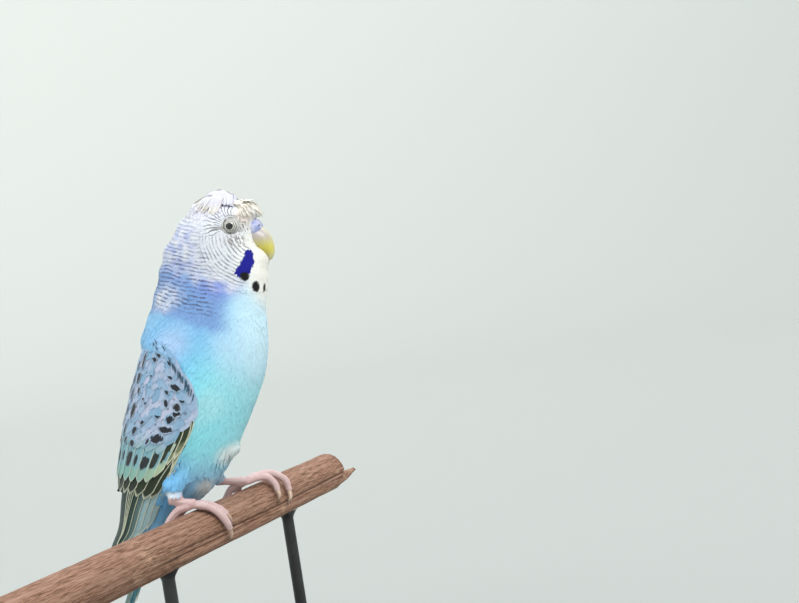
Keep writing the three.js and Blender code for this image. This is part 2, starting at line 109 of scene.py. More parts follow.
right = Vector((math.cos(CAMERA_YAW), math.sin(CAMERA_YAW), 0))
ahead = Vector((-math.sin(CAMERA_YAW) * math.cos(CAMERA_PITCH),
                math.cos(CAMERA_YAW) * math.cos(CAMERA_PITCH), math.sin(CAMERA_PITCH)))
up = right.cross(ahead)
camera_x = math.cos(CAMERA_ROLL) * right - math.sin(CAMERA_ROLL) * up
camera_y = math.sin(CAMERA_ROLL) * right + math.cos(CAMERA_ROLL) * up
camera_data = bpy.data.cameras.new("camera")
camera_data.sensor_width = SENSOR_WIDTH
camera_data.lens = FOCAL_PIXELS * SENSOR_WIDTH / IMAGE_WIDTH
camera_data.clip_start = 0.01
camera = placed("camera", camera_data)
turn = Matrix((camera_x, camera_y, -ahead)).transposed().to_4x4()
camera.matrix_world = Matrix.Translation(Vector(metres(CAMERA_PLACE))) @ turn
bpy.context.scene.camera = camera
print("lens", round(camera_data.lens, 1), "mm")

# %% [markdown]
# ## Meshes from arrays
#
# Most pieces here are grids of points bent into shape. Numpy works out all the points of a piece in
# one go, and one helper turns points and faces into a Blender mesh. It also keeps any numbers that
# belong to each point, such as how far along its feather a point lies, as named attributes that a
# material can read.

# %% Helpers for meshes
FAR = 1e9


def shade_smooth(mesh):
    mesh.polygons.foreach_set("use_smooth", [True] * len(mesh.polygons))


def keep_numbers(mesh, floats=None, colours=None, vectors=None):
    """Keeps numbers, colours and directions of a mesh's points under their names."""
    opaque = {key: np.column_stack([values, np.ones(len(values))]) for key, values in (colours or {}).items()}
    for kind, field, group in (("FLOAT", "value", floats), ("FLOAT_COLOR", "color", opaque),
                               ("FLOAT_VECTOR", "vector", vectors)):
        for key, values in (group or {}).items():
            layer = mesh.attributes.get(key) or mesh.attributes.new(key, kind, "POINT")
            layer.data.foreach_set(field, np.asarray(values, np.float32).ravel())


def mesh_object(name, points_mm, faces, floats=None, colours=None, vectors=None):
    """A new object from points in bird millimetres, with named numbers for each point."""
    mesh = bpy.data.meshes.new(name)
    mesh.from_pydata(metres(points_mm).tolist(), [], [list(face) for face in faces])
    keep_numbers(mesh, floats, colours, vectors)
    shade_smooth(mesh)
    mesh.update()
    return placed(name, mesh)


def rows_of(items, field, width=3, kind=float):
    """One field of all a mesh's points, edges, faces or corners, as an array."""
    flat = np.empty(len(items) * width, kind)
    items.foreach_get(field, flat)
    return flat.reshape(-1, width) if width > 1 else flat


def read_points(mesh):
    """The mesh's points in bird millimetres."""
    return millimetres(rows_of(mesh.vertices, "co"))


def read_normals(mesh):
    return rows_of(mesh.vertex_normals, "vector")


def read_corners(mesh):
    """The point at each corner of each face."""
    return rows_of(mesh.loops, "vertex_index", 1, int)


def grid_faces(rows, columns, first=0, closed=False):
    """Quads between rows of points, closed round if each row is a ring."""
    faces = []
    for row in range(rows - 1):
        for column in range(columns if closed else columns - 1):
            after = (column + 1) % columns
            a = first + row * columns + column
            b = first + row * columns + after
            faces.append((a, b, b + columns, a + columns))
    return faces


def tube(rings):
    """Points and faces of a closed tube from rings of points, with a point in the middle of each end."""
    rings = np.asarray(rings, float)
    count, sides = rings.shape[:2]
    points = np.vstack([rings.reshape(-1, 3), rings[0].mean(0), rings[-1].mean(0)])
    start, last = count * sides, (count - 1) * sides
    faces = grid_faces(count, sides, closed=True)
    faces += [(start, (k + 1) % sides, k) for k in range(sides)]
    faces += [(start + 1, last + k, last + (k + 1) % sides) for k in range(sides)]
    return points, faces


def outward(points, faces):
    """The same faces, turned so that the closed shape's faces point outwards."""
    volume = 0.0
    for face in faces:
        for b, c in zip(face[1:], face[2:]):
            volume += np.dot(points[face[0]], np.cross(points[b], points[c]))
    return faces if volume > 0 else [tuple(reversed(face)) for face in faces]


def unit(vectors):
    return vectors / np.maximum(np.linalg.norm(vectors, axis=-1, keepdims=True), 1e-9)


def smoothstep(low, high, x):
    t = np.clip((np.asarray(x, float) - low) / (high - low), 0, 1)
    return t * t * (3 - 2 * t)


def between(a, b, share):
    """A number, place or colour that lies a share of the way from a to b."""
    return a + (b - a) * share


def full_turn(count):
    """Angles spaced evenly round a circle."""
    return np.linspace(0, 2 * math.pi, count, endpoint=False)


def through(values, t):
    """A smooth curve through equally spaced rows of values, read at the places t."""
    values = np.asarray(values, float)
    t = np.asarray(t, float)
    last = len(values) - 1
    i = np.clip(np.floor(t).astype(int), 0, last - 1)
    f = (t - i).reshape(t.shape + (1,) * (values.ndim - 1))
    padded = np.concatenate([[2 * values[0] - values[1]], values, [2 * values[-1] - values[-2]]])
    p0, p1, p2, p3 = padded[i], padded[i + 1], padded[i + 2], padded[i + 3]
    m1, m2 = (p2 - p0) / 2, (p3 - p1) / 2
    return ((2 * f**3 - 3 * f**2 + 1) * p1 + (f**3 - 2 * f**2 + f) * m1
            + (3 * f**2 - 2 * f**3) * p2 + (f**3 - f**2) * m2)


print("helpers ready")

# %% [markdown]
# ## Building materials from nodes
#
# A material is a small tree of nodes. Written out in full, such trees fill pages, so a helper class
# adds one node a call and joins up its inputs. An input is either a plain number or colour, or the
# output of another node.

# %% A helper for node trees
class Nodes:
    """Adds nodes to a tree, each with its inputs in order."""

    def __init__(self, tree):
        self.tree = tree

    def add(self, kind, inputs=None, **settings):
        node = self.tree.nodes.new(kind)
        for key, value in settings.items():
            setattr(node, key, value)
        for key, value in (inputs or {}).items():
            self.join(value, node.inputs[key])
        return node

    def join(self, value, socket):
        if isinstance(value, bpy.types.NodeSocket):
            self.tree.links.new(value, socket)
        else:
            socket.default_value = value

    def math(self, operation, *values):
        return self.add("ShaderNodeMath", dict(enumerate(values)), operation=operation).outputs[0]

    def plus(self, a, b):
        return self.math("ADD", a, b)

    def times(self, first, *others):
        for other in others:
            first = self.math("MULTIPLY", first, other)
        return first

    def times_plus(self, a, b, c):
        return self.math("MULTIPLY_ADD", a, b, c)

    def vector(self, operation, a, b=(0, 0, 0)):
        node = self.add("ShaderNodeVectorMath", {0: a, 1: b}, operation=operation)
        return node.outputs["Value" if operation == "LENGTH" else "Vector"]

    def combine(self, x, y, z):
        return self.add("ShaderNodeCombineXYZ", {"X": x, "Y": y, "Z": z}).outputs[0]

    def range(self, value, low, high, to_low=0.0, to_high=1.0):
        inputs = {"Value": value, "From Min": low, "From Max": high, "To Min": to_low, "To Max": to_high}
        return self.add("ShaderNodeMapRange", inputs, interpolation_type="SMOOTHSTEP").outputs["Result"]

    def mix(self, amount, a, b, blend="MIX"):
        node = self.add("ShaderNodeMix", {"Factor": amount}, data_type="RGBA", blend_type=blend)
        for key, value in (("A", a), ("B", b)):
            self.join(value if isinstance(value, bpy.types.NodeSocket) else rgba(value), node.inputs[key])
        return node.outputs["Result"]

    def toned(self, colour, tone):
        """The colour made lighter or darker by a number round 1."""
        grey = self.add("ShaderNodeCombineColor", {0: tone, 1: tone, 2: tone}).outputs[0]
        return self.mix(1.0, colour, grey, "MULTIPLY")

    def attribute(self, name, output="Fac"):
        return self.add("ShaderNodeAttribute", attribute_name=name).outputs[output]

    def place(self):
        return self.add("ShaderNodeTexCoord").outputs["Object"]

    def noise(self, place, scale, detail=3.0, rough=0.5):
        inputs = {"Vector": place, "Scale": scale, "Detail": detail, "Roughness": rough}
        return self.add("ShaderNodeTexNoise", inputs).outputs["Fac"]

    def stretched_noise(self, scale, detail):
        """Noise drawn out into streaks. The scale is one number for each axis."""
        place = self.add("ShaderNodeMapping", {"Vector": self.place(), "Scale": scale}).outputs[0]
        return self.noise(place, 1.0, detail)

    def surface(self, shader, colour, height, strength, distance):
        """Gives a shader its colour and a fine relief, the distance in metres."""
        relief = self.add("ShaderNodeBump", {"Height": height, "Strength": strength, "Distance": distance})
        self.join(colour, shader.inputs["Base Color"])
        self.join(relief.outputs["Normal"], shader.inputs["Normal"])


def linear(colour):
    """A colour as a screen shows it, 0 to 255, to the linear light that a renderer works in."""
    c = np.asarray(colour, float) / 255
    return np.where(c <= 0.04045, c / 12.92, ((c + 0.055) / 1.055) ** 2.4)


def rgba(colour):
    return tuple(float(x) for x in colour) + (1.0,)


def new_material(name, **sockets):
    """A Principled material, its node helper and its shader node."""
    material = bpy.data.materials.new(name)
    material.use_nodes = True
    nodes = Nodes(material.node_tree)
    shader = material.node_tree.nodes["Principled BSDF"]
    for key, value in sockets.items():
        nodes.join(value, shader.inputs[key.replace("_", " ")])
    return material, nodes, shader


def new_group(name, inputs, outputs, kind="ShaderNodeTree"):
    """An empty node group with named inputs {name: (socket type, default)} and outputs {name: type}."""
    tree = bpy.data.node_groups.new(name, kind)
    for key, (socket_type, default) in inputs.items():
        socket = tree.interface.new_socket(name=key, in_out="INPUT", socket_type=socket_type)
        if default is not None:
            socket.default_value = default
    for key, socket_type in outputs.items():
        tree.interface.new_socket(name=key, in_out="OUTPUT", socket_type=socket_type)
    nodes = Nodes(tree)
    return tree, nodes, nodes.add("NodeGroupInput").outputs, nodes.add("NodeGroupOutput").inputs


print("node helpers ready")

# %% [markdown]
# ## Materials that several pieces share
#
# A feather's vane is a comb of fine barbs that leave the shaft at a slant. At this size they show as a
# silky grain, not as separate lines. The group below draws that grain from three numbers that every
# feather carries: v, from its root at 0 to its tip at 1, u, from -1 to 1 across it, and a lot of its
# own, so that no two feathers are alike. Skin, horn, scales, paint and wood share a second group, a
# fine mottle that keeps a surface from looking like plastic.

# %% Shared node groups
BARB_SLANT = 0.55

barbs_tree, n, given, made = new_group(
    "feather barbs",
    {"Count": ("NodeSocketFloat", 26.0), "Grain": ("NodeSocketFloat", 0.5)},
    {"Lines": "NodeSocketFloat", "Shaft": "NodeSocketFloat", "Silk": "NodeSocketFloat"},
)
across = n.math("ABSOLUTE", n.attribute("u"))
slanted = n.math("SUBTRACT", n.attribute("v"), n.times(across, BARB_SLANT))
jitter = n.times(n.noise(n.place(), 900.0, 2.0), given["Grain"])
phase = n.times_plus(slanted, given["Count"], jitter)
n.join(n.math("PINGPONG", phase, 0.5), made["Lines"])
n.join(n.times(n.range(across, 0.14, 0.02), n.range(n.attribute("v"), 0.95, 0.5)), made["Shaft"])
own_lot = n.times(n.attribute("lot"), 61.0)
along_vane = n.combine(n.times_plus(n.attribute("u"), 3.4, own_lot), n.times(n.attribute("v"), 0.9), own_lot)
n.join(n.noise(along_vane, 1.0, 4.0, 0.65), made["Silk"])

mottle_tree, n, given, made = new_group(
    "fine mottle",
    {"Place": ("NodeSocketVector", None), "Size": ("NodeSocketFloat", 1.0)},
    {"Broad": "NodeSocketFloat", "Fine": "NodeSocketFloat"},
)
mottle_scale = n.math("DIVIDE", 1000.0, given["Size"])
n.join(n.noise(given["Place"], n.times(mottle_scale, 0.2), 3.0), made["Broad"])
n.join(n.noise(given["Place"], mottle_scale, 5.0, 0.6), made["Fine"])


def barbs(nodes, count, grain):
    group = nodes.add("ShaderNodeGroup", {"Count": count, "Grain": grain}, node_tree=barbs_tree)
    return group.outputs["Lines"], group.outputs["Shaft"], group.outputs["Silk"]


def mottle(nodes, size_mm):
    group = nodes.add("ShaderNodeGroup", {"Place": nodes.place(), "Size": size_mm}, node_tree=mottle_tree)
    return group.outputs["Broad"], group.outputs["Fine"]


print("shared groups", [tree.name for tree in bpy.data.node_groups])

# %% [markdown]
# ## The markings of the plumage
#
# The bird's colours change smoothly from place to place: a white face, a lavender neck, a sky-blue
# breast that turns turquoise, a deeper blue at the vent. A function gives the colour for any place on
# the bird, and others give how strongly spots and fine dark bars show there. The skin and every small
# feather ask the same functions, so skin and coat always agree. Places are given on the bird's right
# half, and the left half mirrors it.

# %% Colours of the plumage
WHITE = linear((250, 249, 246))
HEAD_WHITE = linear((233, 234, 238))
CREAM = linear((250, 240, 216))
PEACH = linear((240, 212, 188))
LILAC = linear((212, 208, 232))
PALE_LAVENDER = linear((158, 170, 218))
LAVENDER = linear((132, 150, 222))
NECK_BLUE = linear((120, 152, 204))
VIOLET = linear((26, 26, 146))
SKY = linear((126, 186, 226))
PALE_SKY_AND_HIGHLIGHT = linear((208, 238, 250))
TURQUOISE = linear((142, 236, 246))
DEEP_BLUE = linear((116, 186, 234))
VENT_BLUE = linear((150, 186, 212))
INK = linear((20, 20, 22))

BODY_LOW = np.array([-34.0, 0.0, -14.0])
BODY_HIGH = np.array([24.0, 0.0, 119.0])
BODY_AXIS = unit(BODY_HIGH - BODY_LOW)
BODY_FRONT = np.array([BODY_AXIS[2], 0.0, -BODY_AXIS[0]])
CREST_ROOT = np.array([25.8, 0.0, 120.4])
GAPE = np.array([31.7, 0.0, 107.0])
EYE_PLACE = np.array([24.6, -9.1, EYE_HEIGHT])
EYE_RADIUS = 3.1


def along_body(points):
    """How far up the body's axis each point is, its angle round it, 0 at the breast, and its distance."""
    offset = points - BODY_LOW
    height = offset @ BODY_AXIS
    front = offset @ BODY_FRONT
    side = points[:, 1]
    return height, np.arctan2(np.abs(side), front), np.hypot(front, side)


def mirrored(points):
    """Every point brought to the bird's right half."""
    return np.column_stack([points[:, 0], -np.abs(points[:, 1]), points[:, 2]])


def blend(base, colour, amount):
    """Many colours, each moved by its own amount towards another."""
    return between(base, np.asarray(colour), np.asarray(amount)[:, None])


def wobble(points, size, seed=0.0):
    """Smooth noise from -1 to 1 at each point, size in millimetres."""
    return np.array([noise.noise(Vector(p / size) + Vector((seed, seed, seed))) for p in points])


def blot(points, centre, radii, soft):
    """1 inside an ellipsoid and 0 outside it, with a soft edge."""
    away = np.linalg.norm((points - np.array(centre)) / np.array(radii), axis=1)
    return 1 - smoothstep(1 - soft, 1 + soft, away)


def in_any(points, blots, soft):
    """1 inside any of some ellipsoids, given as (centre, radii), and inside their mirror images."""
    p = mirrored(points)
    return np.max([blot(p, centre, radii, soft) for centre, radii in blots], axis=0)


SPOTS = [((27.7, -10.6, 91.3), (1.9, 2.4, 1.8)), ((31.0, -7.5, 86.5), (1.65, 2.2, 2.4)),
         ((33.7, -2.9, 84.9), (1.3, 1.3, 2.4))]
CHEEK_PATCH = [((30.5, -7.8, 100.2), (1.6, 3.0, 1.9)), ((29.9, -8.8, 97.2), (2.5, 3.4, 2.3)),
               ((28.2, -10.0, 94.6), (3.1, 3.6, 2.2))]
FLUFF = [((9.5, -5.0, 21.5), (5.5, 8.0, 4.5)), ((-14.5, -20.0, 7.0), (4.0, 4.0, 2.6)),
         ((-2.0, -8.0, 7.0), (4.5, 5.0, 5.0))]


def dark_marks(points):
    """How dark the throat spots are."""
    return in_any(points, SPOTS, 0.14)


def cheek_patch(points):
    """Where the violet patch of the cheek lies."""
    return in_any(points, CHEEK_PATCH, 0.16)


def fluff_at(points):
    """Where loose white fluff stands out over the belly and the thighs."""
    return in_any(points, FLUFF, 0.6)


def plumage_colour(points):
    """The feathers' colour at each place."""
    p = mirrored(points)
    height, angle, _ = along_body(p)
    soft = wobble(p, 15.0)
    fine = wobble(p, 3.4, 7.0)
    front = 1 - smoothstep(0.3, 1.4, angle)
    # the body: sky blue, paler on the front and most on the upper breast, partly its own colour and partly a
    # painted highlight of the light from the front; turquoise below it, a deeper blue towards the vent
    colour = np.tile(SKY, (len(p), 1))
    low_breast = smoothstep(34, 54, height + 3 * soft) * (1 - smoothstep(76, 98, height))
    colour = blend(colour, TURQUOISE, (1 - smoothstep(0.9, 1.8, angle)) * low_breast * 0.9)
    colour = blend(colour, PALE_SKY_AND_HIGHLIGHT, front * (0.25 + 0.7 * smoothstep(66, 100, height + 3 * soft)))
    low = 1 - smoothstep(28, 52, height + 4 * soft)
    colour = blend(colour, DEEP_BLUE, low * smoothstep(0.5, 1.2, angle) * 0.85)
    colour = blend(colour, VENT_BLUE, (1 - smoothstep(6, 22, height)) * 0.6)
    colour = blend(colour, WHITE, smoothstep(-0.1, 0.8, soft) * 0.16 * smoothstep(30, 60, height))
    colour = blend(colour, LILAC, blot(p, (-3.0, -18, 70.0), (7, 8, 6), 0.8) * 0.35)
    # the neck, blue with a lavender patch at the throat's corner
    neck = smoothstep(96.5, 100.5, height + 1.2 * fine) * smoothstep(0.7, 1.15, angle)
    colour = blend(colour, NECK_BLUE, neck * 0.9)
    colour = blend(colour, LAVENDER, blot(p, (19.2, -13.5, 91.0), (9.0, 6, 6.0), 0.6) * 0.9)
    colour = blend(colour, HEAD_WHITE, blot(p, (-5.0, -11, 88.0), (7, 9, 5), 0.6) * (0.6 + 0.6 * fine))
    # the head: white, mottled with lavender behind, washed with cream round the bill
    head = smoothstep(112, 121, height + 3 * fine) * smoothstep(0.5, 0.8, angle)
    head = np.maximum(head, smoothstep(107, 110, p[:, 2]) * smoothstep(22, 26, p[:, 0]))
    colour = blend(colour, HEAD_WHITE, head * 0.95)
    colour = blend(colour, PALE_LAVENDER, blot(p, (3.0, -8, 104), (9, 14, 11), 0.7) * (0.5 + 0.8 * fine))
    colour = blend(colour, LILAC, blot(p, (16.5, -6, 121), (8, 9, 5), 0.6) * (0.6 + 0.5 * fine))
    mask = blot(p, (34.0, 0.0, 97.0), (15.0, 12.6, 17.5), 0.28)
    colour = blend(colour, WHITE, mask)
    colour = blend(colour, CREAM, blot(p, (37, 0, 95), (9, 9, 15), 0.5) * 0.3)
    colour = blend(colour, PEACH, blot(p, (30.3, -7, 115.0), (4.2, 5, 3.4), 0.6) * 0.5)
    colour = blend(colour, WHITE, fluff_at(p) * 0.75)
    return np.clip(colour, 0, 1)


print("plumage colours ready")

# %% [markdown]
# ## Bars, streaks and speckle
#
# Four kinds of fine dark marks lie over the colours of the head. Round the cheek run neat arcs about
# the bill's corner. Over neck and nape go short rough bars. Above and behind the eye stand short rays,
# and before and below it lies brown speckle. Each kind has a number that says how strong it is, and
# all but the speckle one that counts along the pattern.

# %% Fine marks of the head
BARS_UP = unit(np.array([0.34, 0.0, 1.0]))


def gape_distance(p):
    """How far points of the right half are from the bill's corner, with their depth counting less."""
    return np.linalg.norm((p - GAPE) * [1, 0.55, 1], axis=1)


def cheek_arcs(points):
    """The distance that the cheek's arcs follow, in millimetres, and how dark they are."""
    p = mirrored(points)
    from_gape = gape_distance(p)
    bearing = np.arctan2(GAPE[2] - p[:, 2], GAPE[0] - p[:, 0])
    sector = smoothstep(-0.3, 0.1, bearing) * (1 - smoothstep(1.25, 1.45, bearing))
    amount = smoothstep(5.5, 7.5, from_gape) * (1 - smoothstep(19, 25, from_gape)) * sector
    amount = amount * (1 - 0.5 * smoothstep(0.0, 0.5, wobble(p, 5.0, 3.0)))
    return from_gape + 0.45 * wobble(p, 5.0, 9.0), np.clip(amount, 0, 1)


def neck_bars(points):
    """The distance that the neck's rough bars follow, in millimetres, and how dark they are."""
    p = mirrored(points)
    height, angle, _ = along_body(p)
    amount = smoothstep(99.5, 102.5, height) * smoothstep(1.0, 1.5, angle)
    amount = amount * smoothstep(18, 23, gape_distance(p))
    amount = amount * (1 - 0.5 * smoothstep(110, 130, height)) * (1 - smoothstep(134, 140, height))
    amount = amount * (0.95 + 0.6 * wobble(p, 4.0, 21.0))
    low_edge = blot(p, (-5.0, -12, 87.5), (8, 8, 5.0), 0.5)
    amount = np.maximum(amount, low_edge * 0.9)
    return p @ BARS_UP + 0.9 * wobble(p, 5.5, 14.0), np.clip(amount, 0, 1)


def eye_streaks(points):
    """Short dark streaks that stand like rays above and behind the eye: a number round it, and how dark."""
    p = mirrored(points)
    dx, dz = p[:, 0] - EYE_PLACE[0], p[:, 2] - EYE_PLACE[2]
    reach = np.hypot(dx, dz)
    bearing = np.arctan2(dz, -dx)
    ring = smoothstep(3.4, 4.6, reach) * (1 - smoothstep(7.6, 13.0, reach))
    sector = smoothstep(-0.6, -0.2, bearing) * (1 - smoothstep(1.7, 2.0, bearing))
    return bearing + 0.12 * wobble(p, 2.5, 4.0), ring * sector


def brown_speckle(points):
    """Where brown speckle lies: before and below the eye, and thinly on the nape."""
    p = mirrored(points)
    before = blot(p, (29.2, -7.8, 110.6), (3.0, 4, 3.6), 0.5)
    below = blot(p, (26.2, -10.2, 105.6), (5.2, 4, 3.0), 0.5)
    nape = blot(p, (14.0, -8.0, 118.5), (8, 6, 4), 0.6) * 0.5
    return np.maximum(np.maximum(before, below), nape)


print("plumage functions ready")

# %% [markdown]
# ## The form of the folded wing
#
# The folded wings lie round the body like a cloak that runs on past it to the wing tips. The cloak is
# given by ten levels, from the tips up to the shoulders. Each has a point at the back, one at the
# front, and a half width, and between them runs half an ellipse. A place on the wing is then a level
# t, a share f from the back edge to the front edge, and a lift off the surface.

# %% The wing's surface
WING_LEVELS = np.array([
    # back x, back z, front x, front z, half width
    (-55.0, -23.0, -51.5, -23.5, 2.2),
    (-51.2, -14.0, -35.0, -18.0, 8.0),
    (-45.9, -4.0, -24.0, -11.5, 12.4),
    (-43.2, 8.0, -15.0, -2.0, 15.4),
    (-40.8, 20.0, -3.0, 6.0, 19.2),
    (-37.0, 32.5, 7.0, 16.5, 22.0),
    (-32.2, 45.0, 15.6, 29.0, 23.8),
    (-27.2, 57.0, 22.5, 41.0, 24.4),
    (-23.0, 67.5, 27.6, 51.5, 23.8),
    (-19.3, 76.0, 30.8, 61.5, 22.0),
])
WING_BACK_EDGE = np.array([-0.6, -0.9, -0.94, -0.955, -0.965, -0.965, -0.955, -0.93, -0.88, -0.8])
WING_FRONT_EDGE = np.array([0.5, 0.66, 0.6, 0.52, 0.36, 0.36, 0.45, 0.3, -0.1, -0.72])
LEVEL_SPACING = 11.5


def cloak(t, turn, side, lift):
    """Places on the cloak. turn is 0 at the breast and pi at the back."""
    level = through(WING_LEVELS, t)
    back, front, half = level[:, 0:2], level[:, 2:4], level[:, 4]
    ahead = front - back
    depth = np.linalg.norm(ahead, axis=1) / 2
    ahead = unit(ahead)
    u, w = depth * np.cos(turn), half * np.sin(turn)
    normal = unit(np.column_stack([u / depth**2, w / half**2]))
    flat = (back + front) / 2 + ahead * (u + lift * normal[:, 0])[:, None]
    return np.column_stack([flat[:, 0], side * (w + lift * normal[:, 1]), flat[:, 1]])


def wing_turn(t, f):
    """The turn on the cloak at a level and a share of the way from the back edge to the front edge."""
    back_turn, front_turn = (np.arccos(np.clip(through(edge, t), -1, 1))
                             for edge in (WING_BACK_EDGE, WING_FRONT_EDGE))
    return between(back_turn, front_turn, f)


def wing_feather(side, root, tip, root_lift, tip_lift, slope=0.05):
    """The surface of a feather from root (t, f) to tip (t, f), its front edge the higher one."""
    def surface(v, across, lift):
        t = between(root[0], tip[0], v)
        turn = wing_turn(t, between(root[1], tip[1], v))
        step = 0.02
        here, there = cloak(t, turn - step, side, 0 * t), cloak(t, turn + step, side, 0 * t)
        per_turn = np.linalg.norm(there - here, axis=1) / (2 * step)
        height = between(root_lift, tip_lift, v) + slope * across + lift
        return cloak(t, turn - across / per_turn, side, height)
    return surface


def wing_place(points):
    """The level and share of the nearest place on the folded wing, for each point."""
    level, share = np.meshgrid(np.linspace(2.0, 9.0, 120), np.linspace(-0.05, 1.05, 70), indexing="ij")
    level, share = level.ravel(), share.ravel()
    places = cloak(level, wing_turn(level, share), -1, 0 * level)
    tree = KDTree(len(places))
    for k, place in enumerate(places):
        tree.insert(place, k)
    tree.balance()
    found = [tree.find(point)[1] for point in mirrored(points)]
    return level[found], share[found]


print("wing levels", len(WING_LEVELS))

# %% [markdown]
# ## Toes as paths
#
# A parrot's foot has two toes in front and two behind. Each toe is a bent tube that grips the stick,
# so its places are easiest to give on the stick itself: how far along it, how many degrees round from
# its top, and how far above its bark. The same paths later carry the scales and the claws.

# %% The feet's paths
PERCH_RADIUS = 9.25
PERCH_AHEAD = unit(np.array([0.319, 0.948, 0.0]))
PERCH_SIDE = np.array([PERCH_AHEAD[1], -PERCH_AHEAD[0], 0.0])


def on_perch(places):
    """Bird millimetres of places given as (along, degrees round, above)."""
    along, degrees, above = np.asarray(places, float).T
    turn = np.radians(degrees)
    reach = PERCH_RADIUS + above
    points = along[:, None] * PERCH_AHEAD + (reach * np.sin(turn))[:, None] * PERCH_SIDE
    points[:, 2] += reach * np.cos(turn) - PERCH_RADIUS
    return points


FEET = {
    "right": {
        "heel": (-15.6, -20.3, 5.6),
        "knuckle": (-20.2, -2, 3.1),
        "toes": {
            "outer_front": [(-20.2, 2, 2.6), (-18.3, 27, 2.5), (-16.4, 51, 2.2), (-14.9, 74, 2.0),
                            (-13.9, 88, 1.9)],
            "inner_front": [(-19.4, 2, 2.5), (-16.7, 24, 2.3), (-14.1, 44, 2.0), (-12.7, 58, 1.9)],
            "outer_back": [(-20.9, -5, 2.5), (-23.2, -30, 2.3), (-25.1, -58, 2.0), (-26.4, -80, 1.9)],
            "inner_back": [(-19.7, -6, 2.5), (-18.8, -32, 2.2), (-18.2, -56, 1.9)],
        },
        "claws": {
            "outer_front": [(-13.9, 87, 1.9), (-13.1, 106, 2.3), (-12.6, 122, 1.2)],
            "inner_front": [(-12.7, 57, 1.9), (-11.7, 73, 2.2), (-11.2, 86, 1.1)],
            "outer_back": [(-26.4, -79, 1.9), (-27.0, -98, 2.3), (-27.3, -113, 1.1)],
            "inner_back": [(-18.2, -55, 1.9), (-17.9, -72, 2.2), (-17.8, -85, 1.1)],
        },
    },
    "left": {
        "heel": (-6.4, 15.6, 5.0),
        "knuckle": (20.4, -3, 3.1),
        "toes": {
            "inner_front": [(21, 1, 2.6), (26.2, 8, 3.0), (30.2, 24, 3.0), (30.4, 46, 2.3), (29.4, 60, 1.9)],
            "outer_front": [(21.2, -4, 2.6), (28.4, 1, 3.1), (35.2, 19, 3.4), (38.3, 47, 2.7),
                            (37.7, 70, 1.9)],
            "inner_back": [(20, -8, 2.5), (18.7, -34, 2.2), (17.7, -58, 1.9)],
            "outer_back": [(21.6, -9, 2.5), (25.2, -36, 2.3), (27.5, -62, 2.0), (28.5, -82, 1.9)],
        },
        "claws": {
            "inner_front": [(29.4, 59, 1.9), (28.3, 73, 2.2), (27.5, 84, 1.1)],
            "outer_front": [(37.7, 69, 1.9), (36.3, 87, 2.3), (35.1, 101, 1.1)],
            "inner_back": [(17.7, -57, 1.9), (17.2, -74, 2.2), (17.0, -87, 1.1)],
            "outer_back": [(28.5, -81, 1.9), (29.0, -99, 2.3), (29.3, -113, 1.1)],
        },
    },
}
TOE_RADII = (1.8, 1.75, 1.6, 1.35)
TARSUS_RADII = (1.75, 1.6, 2.0)


def path_frames(points, count):
    """Places, directions ahead, and two directions across, evenly along a smooth path."""
    points = np.asarray(points, float)
    t = np.linspace(0, len(points) - 1, count)
    places = through(points, t)
    tangents = unit(np.gradient(places, axis=0))
    across = unit(np.cross(tangents, [0, 0, 1.0]))
    for k in range(1, count):
        if np.dot(across[k], across[k - 1]) < 0:
            across[k] = -across[k]
    return places, tangents, across, np.cross(across, tangents)


def limb(points, radii, sides=14, count=24, pads=0.0):
    """A closed tube of changing radius along a path. Pads swell it a few times, as toe joints do."""
    places, _, across, rise = path_frames(points, count)
    f = np.linspace(0, 1, count)
    radius = through(radii, f * (len(radii) - 1)) * (1 + pads * np.cos(f * 3 * 2 * math.pi))
    turn = full_turn(sides)
    ring = (across[:, None] * np.cos(turn)[None, :, None] + rise[:, None] * np.sin(turn)[None, :, None])
    return tube(places[:, None] + ring * radius[:, None, None])


print("toes", sum(len(foot["toes"]) for foot in FEET.values()))

# %% [markdown]
# ## One skin
#
# A real bird has one skin from bill to tail and from wing to toe, so the model has one too. It could
# be sculpted by hand, but the frame's solids already have the right outline. So the solids of flesh
# are joined with the toes' tubes and with a few cushions that round off neck, crown and thighs, and a
# voxel remesh melts them into one closed surface with no seam. The frame's outline is the outside of
# the feathers, so the skin is then smoothed and drawn in by the depth of the coat: half a millimetre
# on body and face, more under the wings' stacked feathers, and nothing on the bare feet.

# %% Melt the flesh into one surface
SKIN_VOXEL = 0.62
SWELL = 0.45
FLESH = ["trunk", "neck", "head", "thigh_left", "thigh_right", "wing_left", "wing_right"]
CUSHIONS = {
    "chin": ((28.7, 0, 97.0), (8.7, 7.4, 7.4)),
    "crown tuft": ((17.8, 0, 120.5), (8.2, 6.6, 7.0)),
    "nape tuft": ((12.3, 0, 117.6), (8.0, 8.0, 7.8)),
    "nape": ((9.0, 0, 111.0), (11.0, 9.8, 9.8)),
    "upper neck": ((3.0, 0, 104.0), (11.8, 9.5, 8.0)),
    "lower neck": ((0.0, 0, 96.0), (11.8, 10.5, 9.0)),
    "nape's foot": ((-3.0, 0, 87.0), (12.8, 12.0, 9.0)),
    "mantle": ((-7.0, 0, 77.0), (13.0, 14.0, 10.0)),
    "shoulders": ((-10.5, 0, 69.0), (12.7, 16.0, 11.0)),
    "fringe": ((30.6, 0, 116.4), (5.4, 6.8, 4.6)),
    "right thigh": ((-13.6, -19.4, 9.5), (4.2, 3.4, 5.4)),
    "left thigh": ((-4.6, 14.8, 9.0), (4.2, 3.4, 5.4)),
    "belly fluff": ((7.0, 0, 21.5), (5.2, 7.5, 4.5)),
}
TAIL_BASE = [(-27, 0, 2), (-34, 0, -14), (-42, 0, -31)]
TAIL_BASE_RADII = (7.5, 4.6, 1.6)


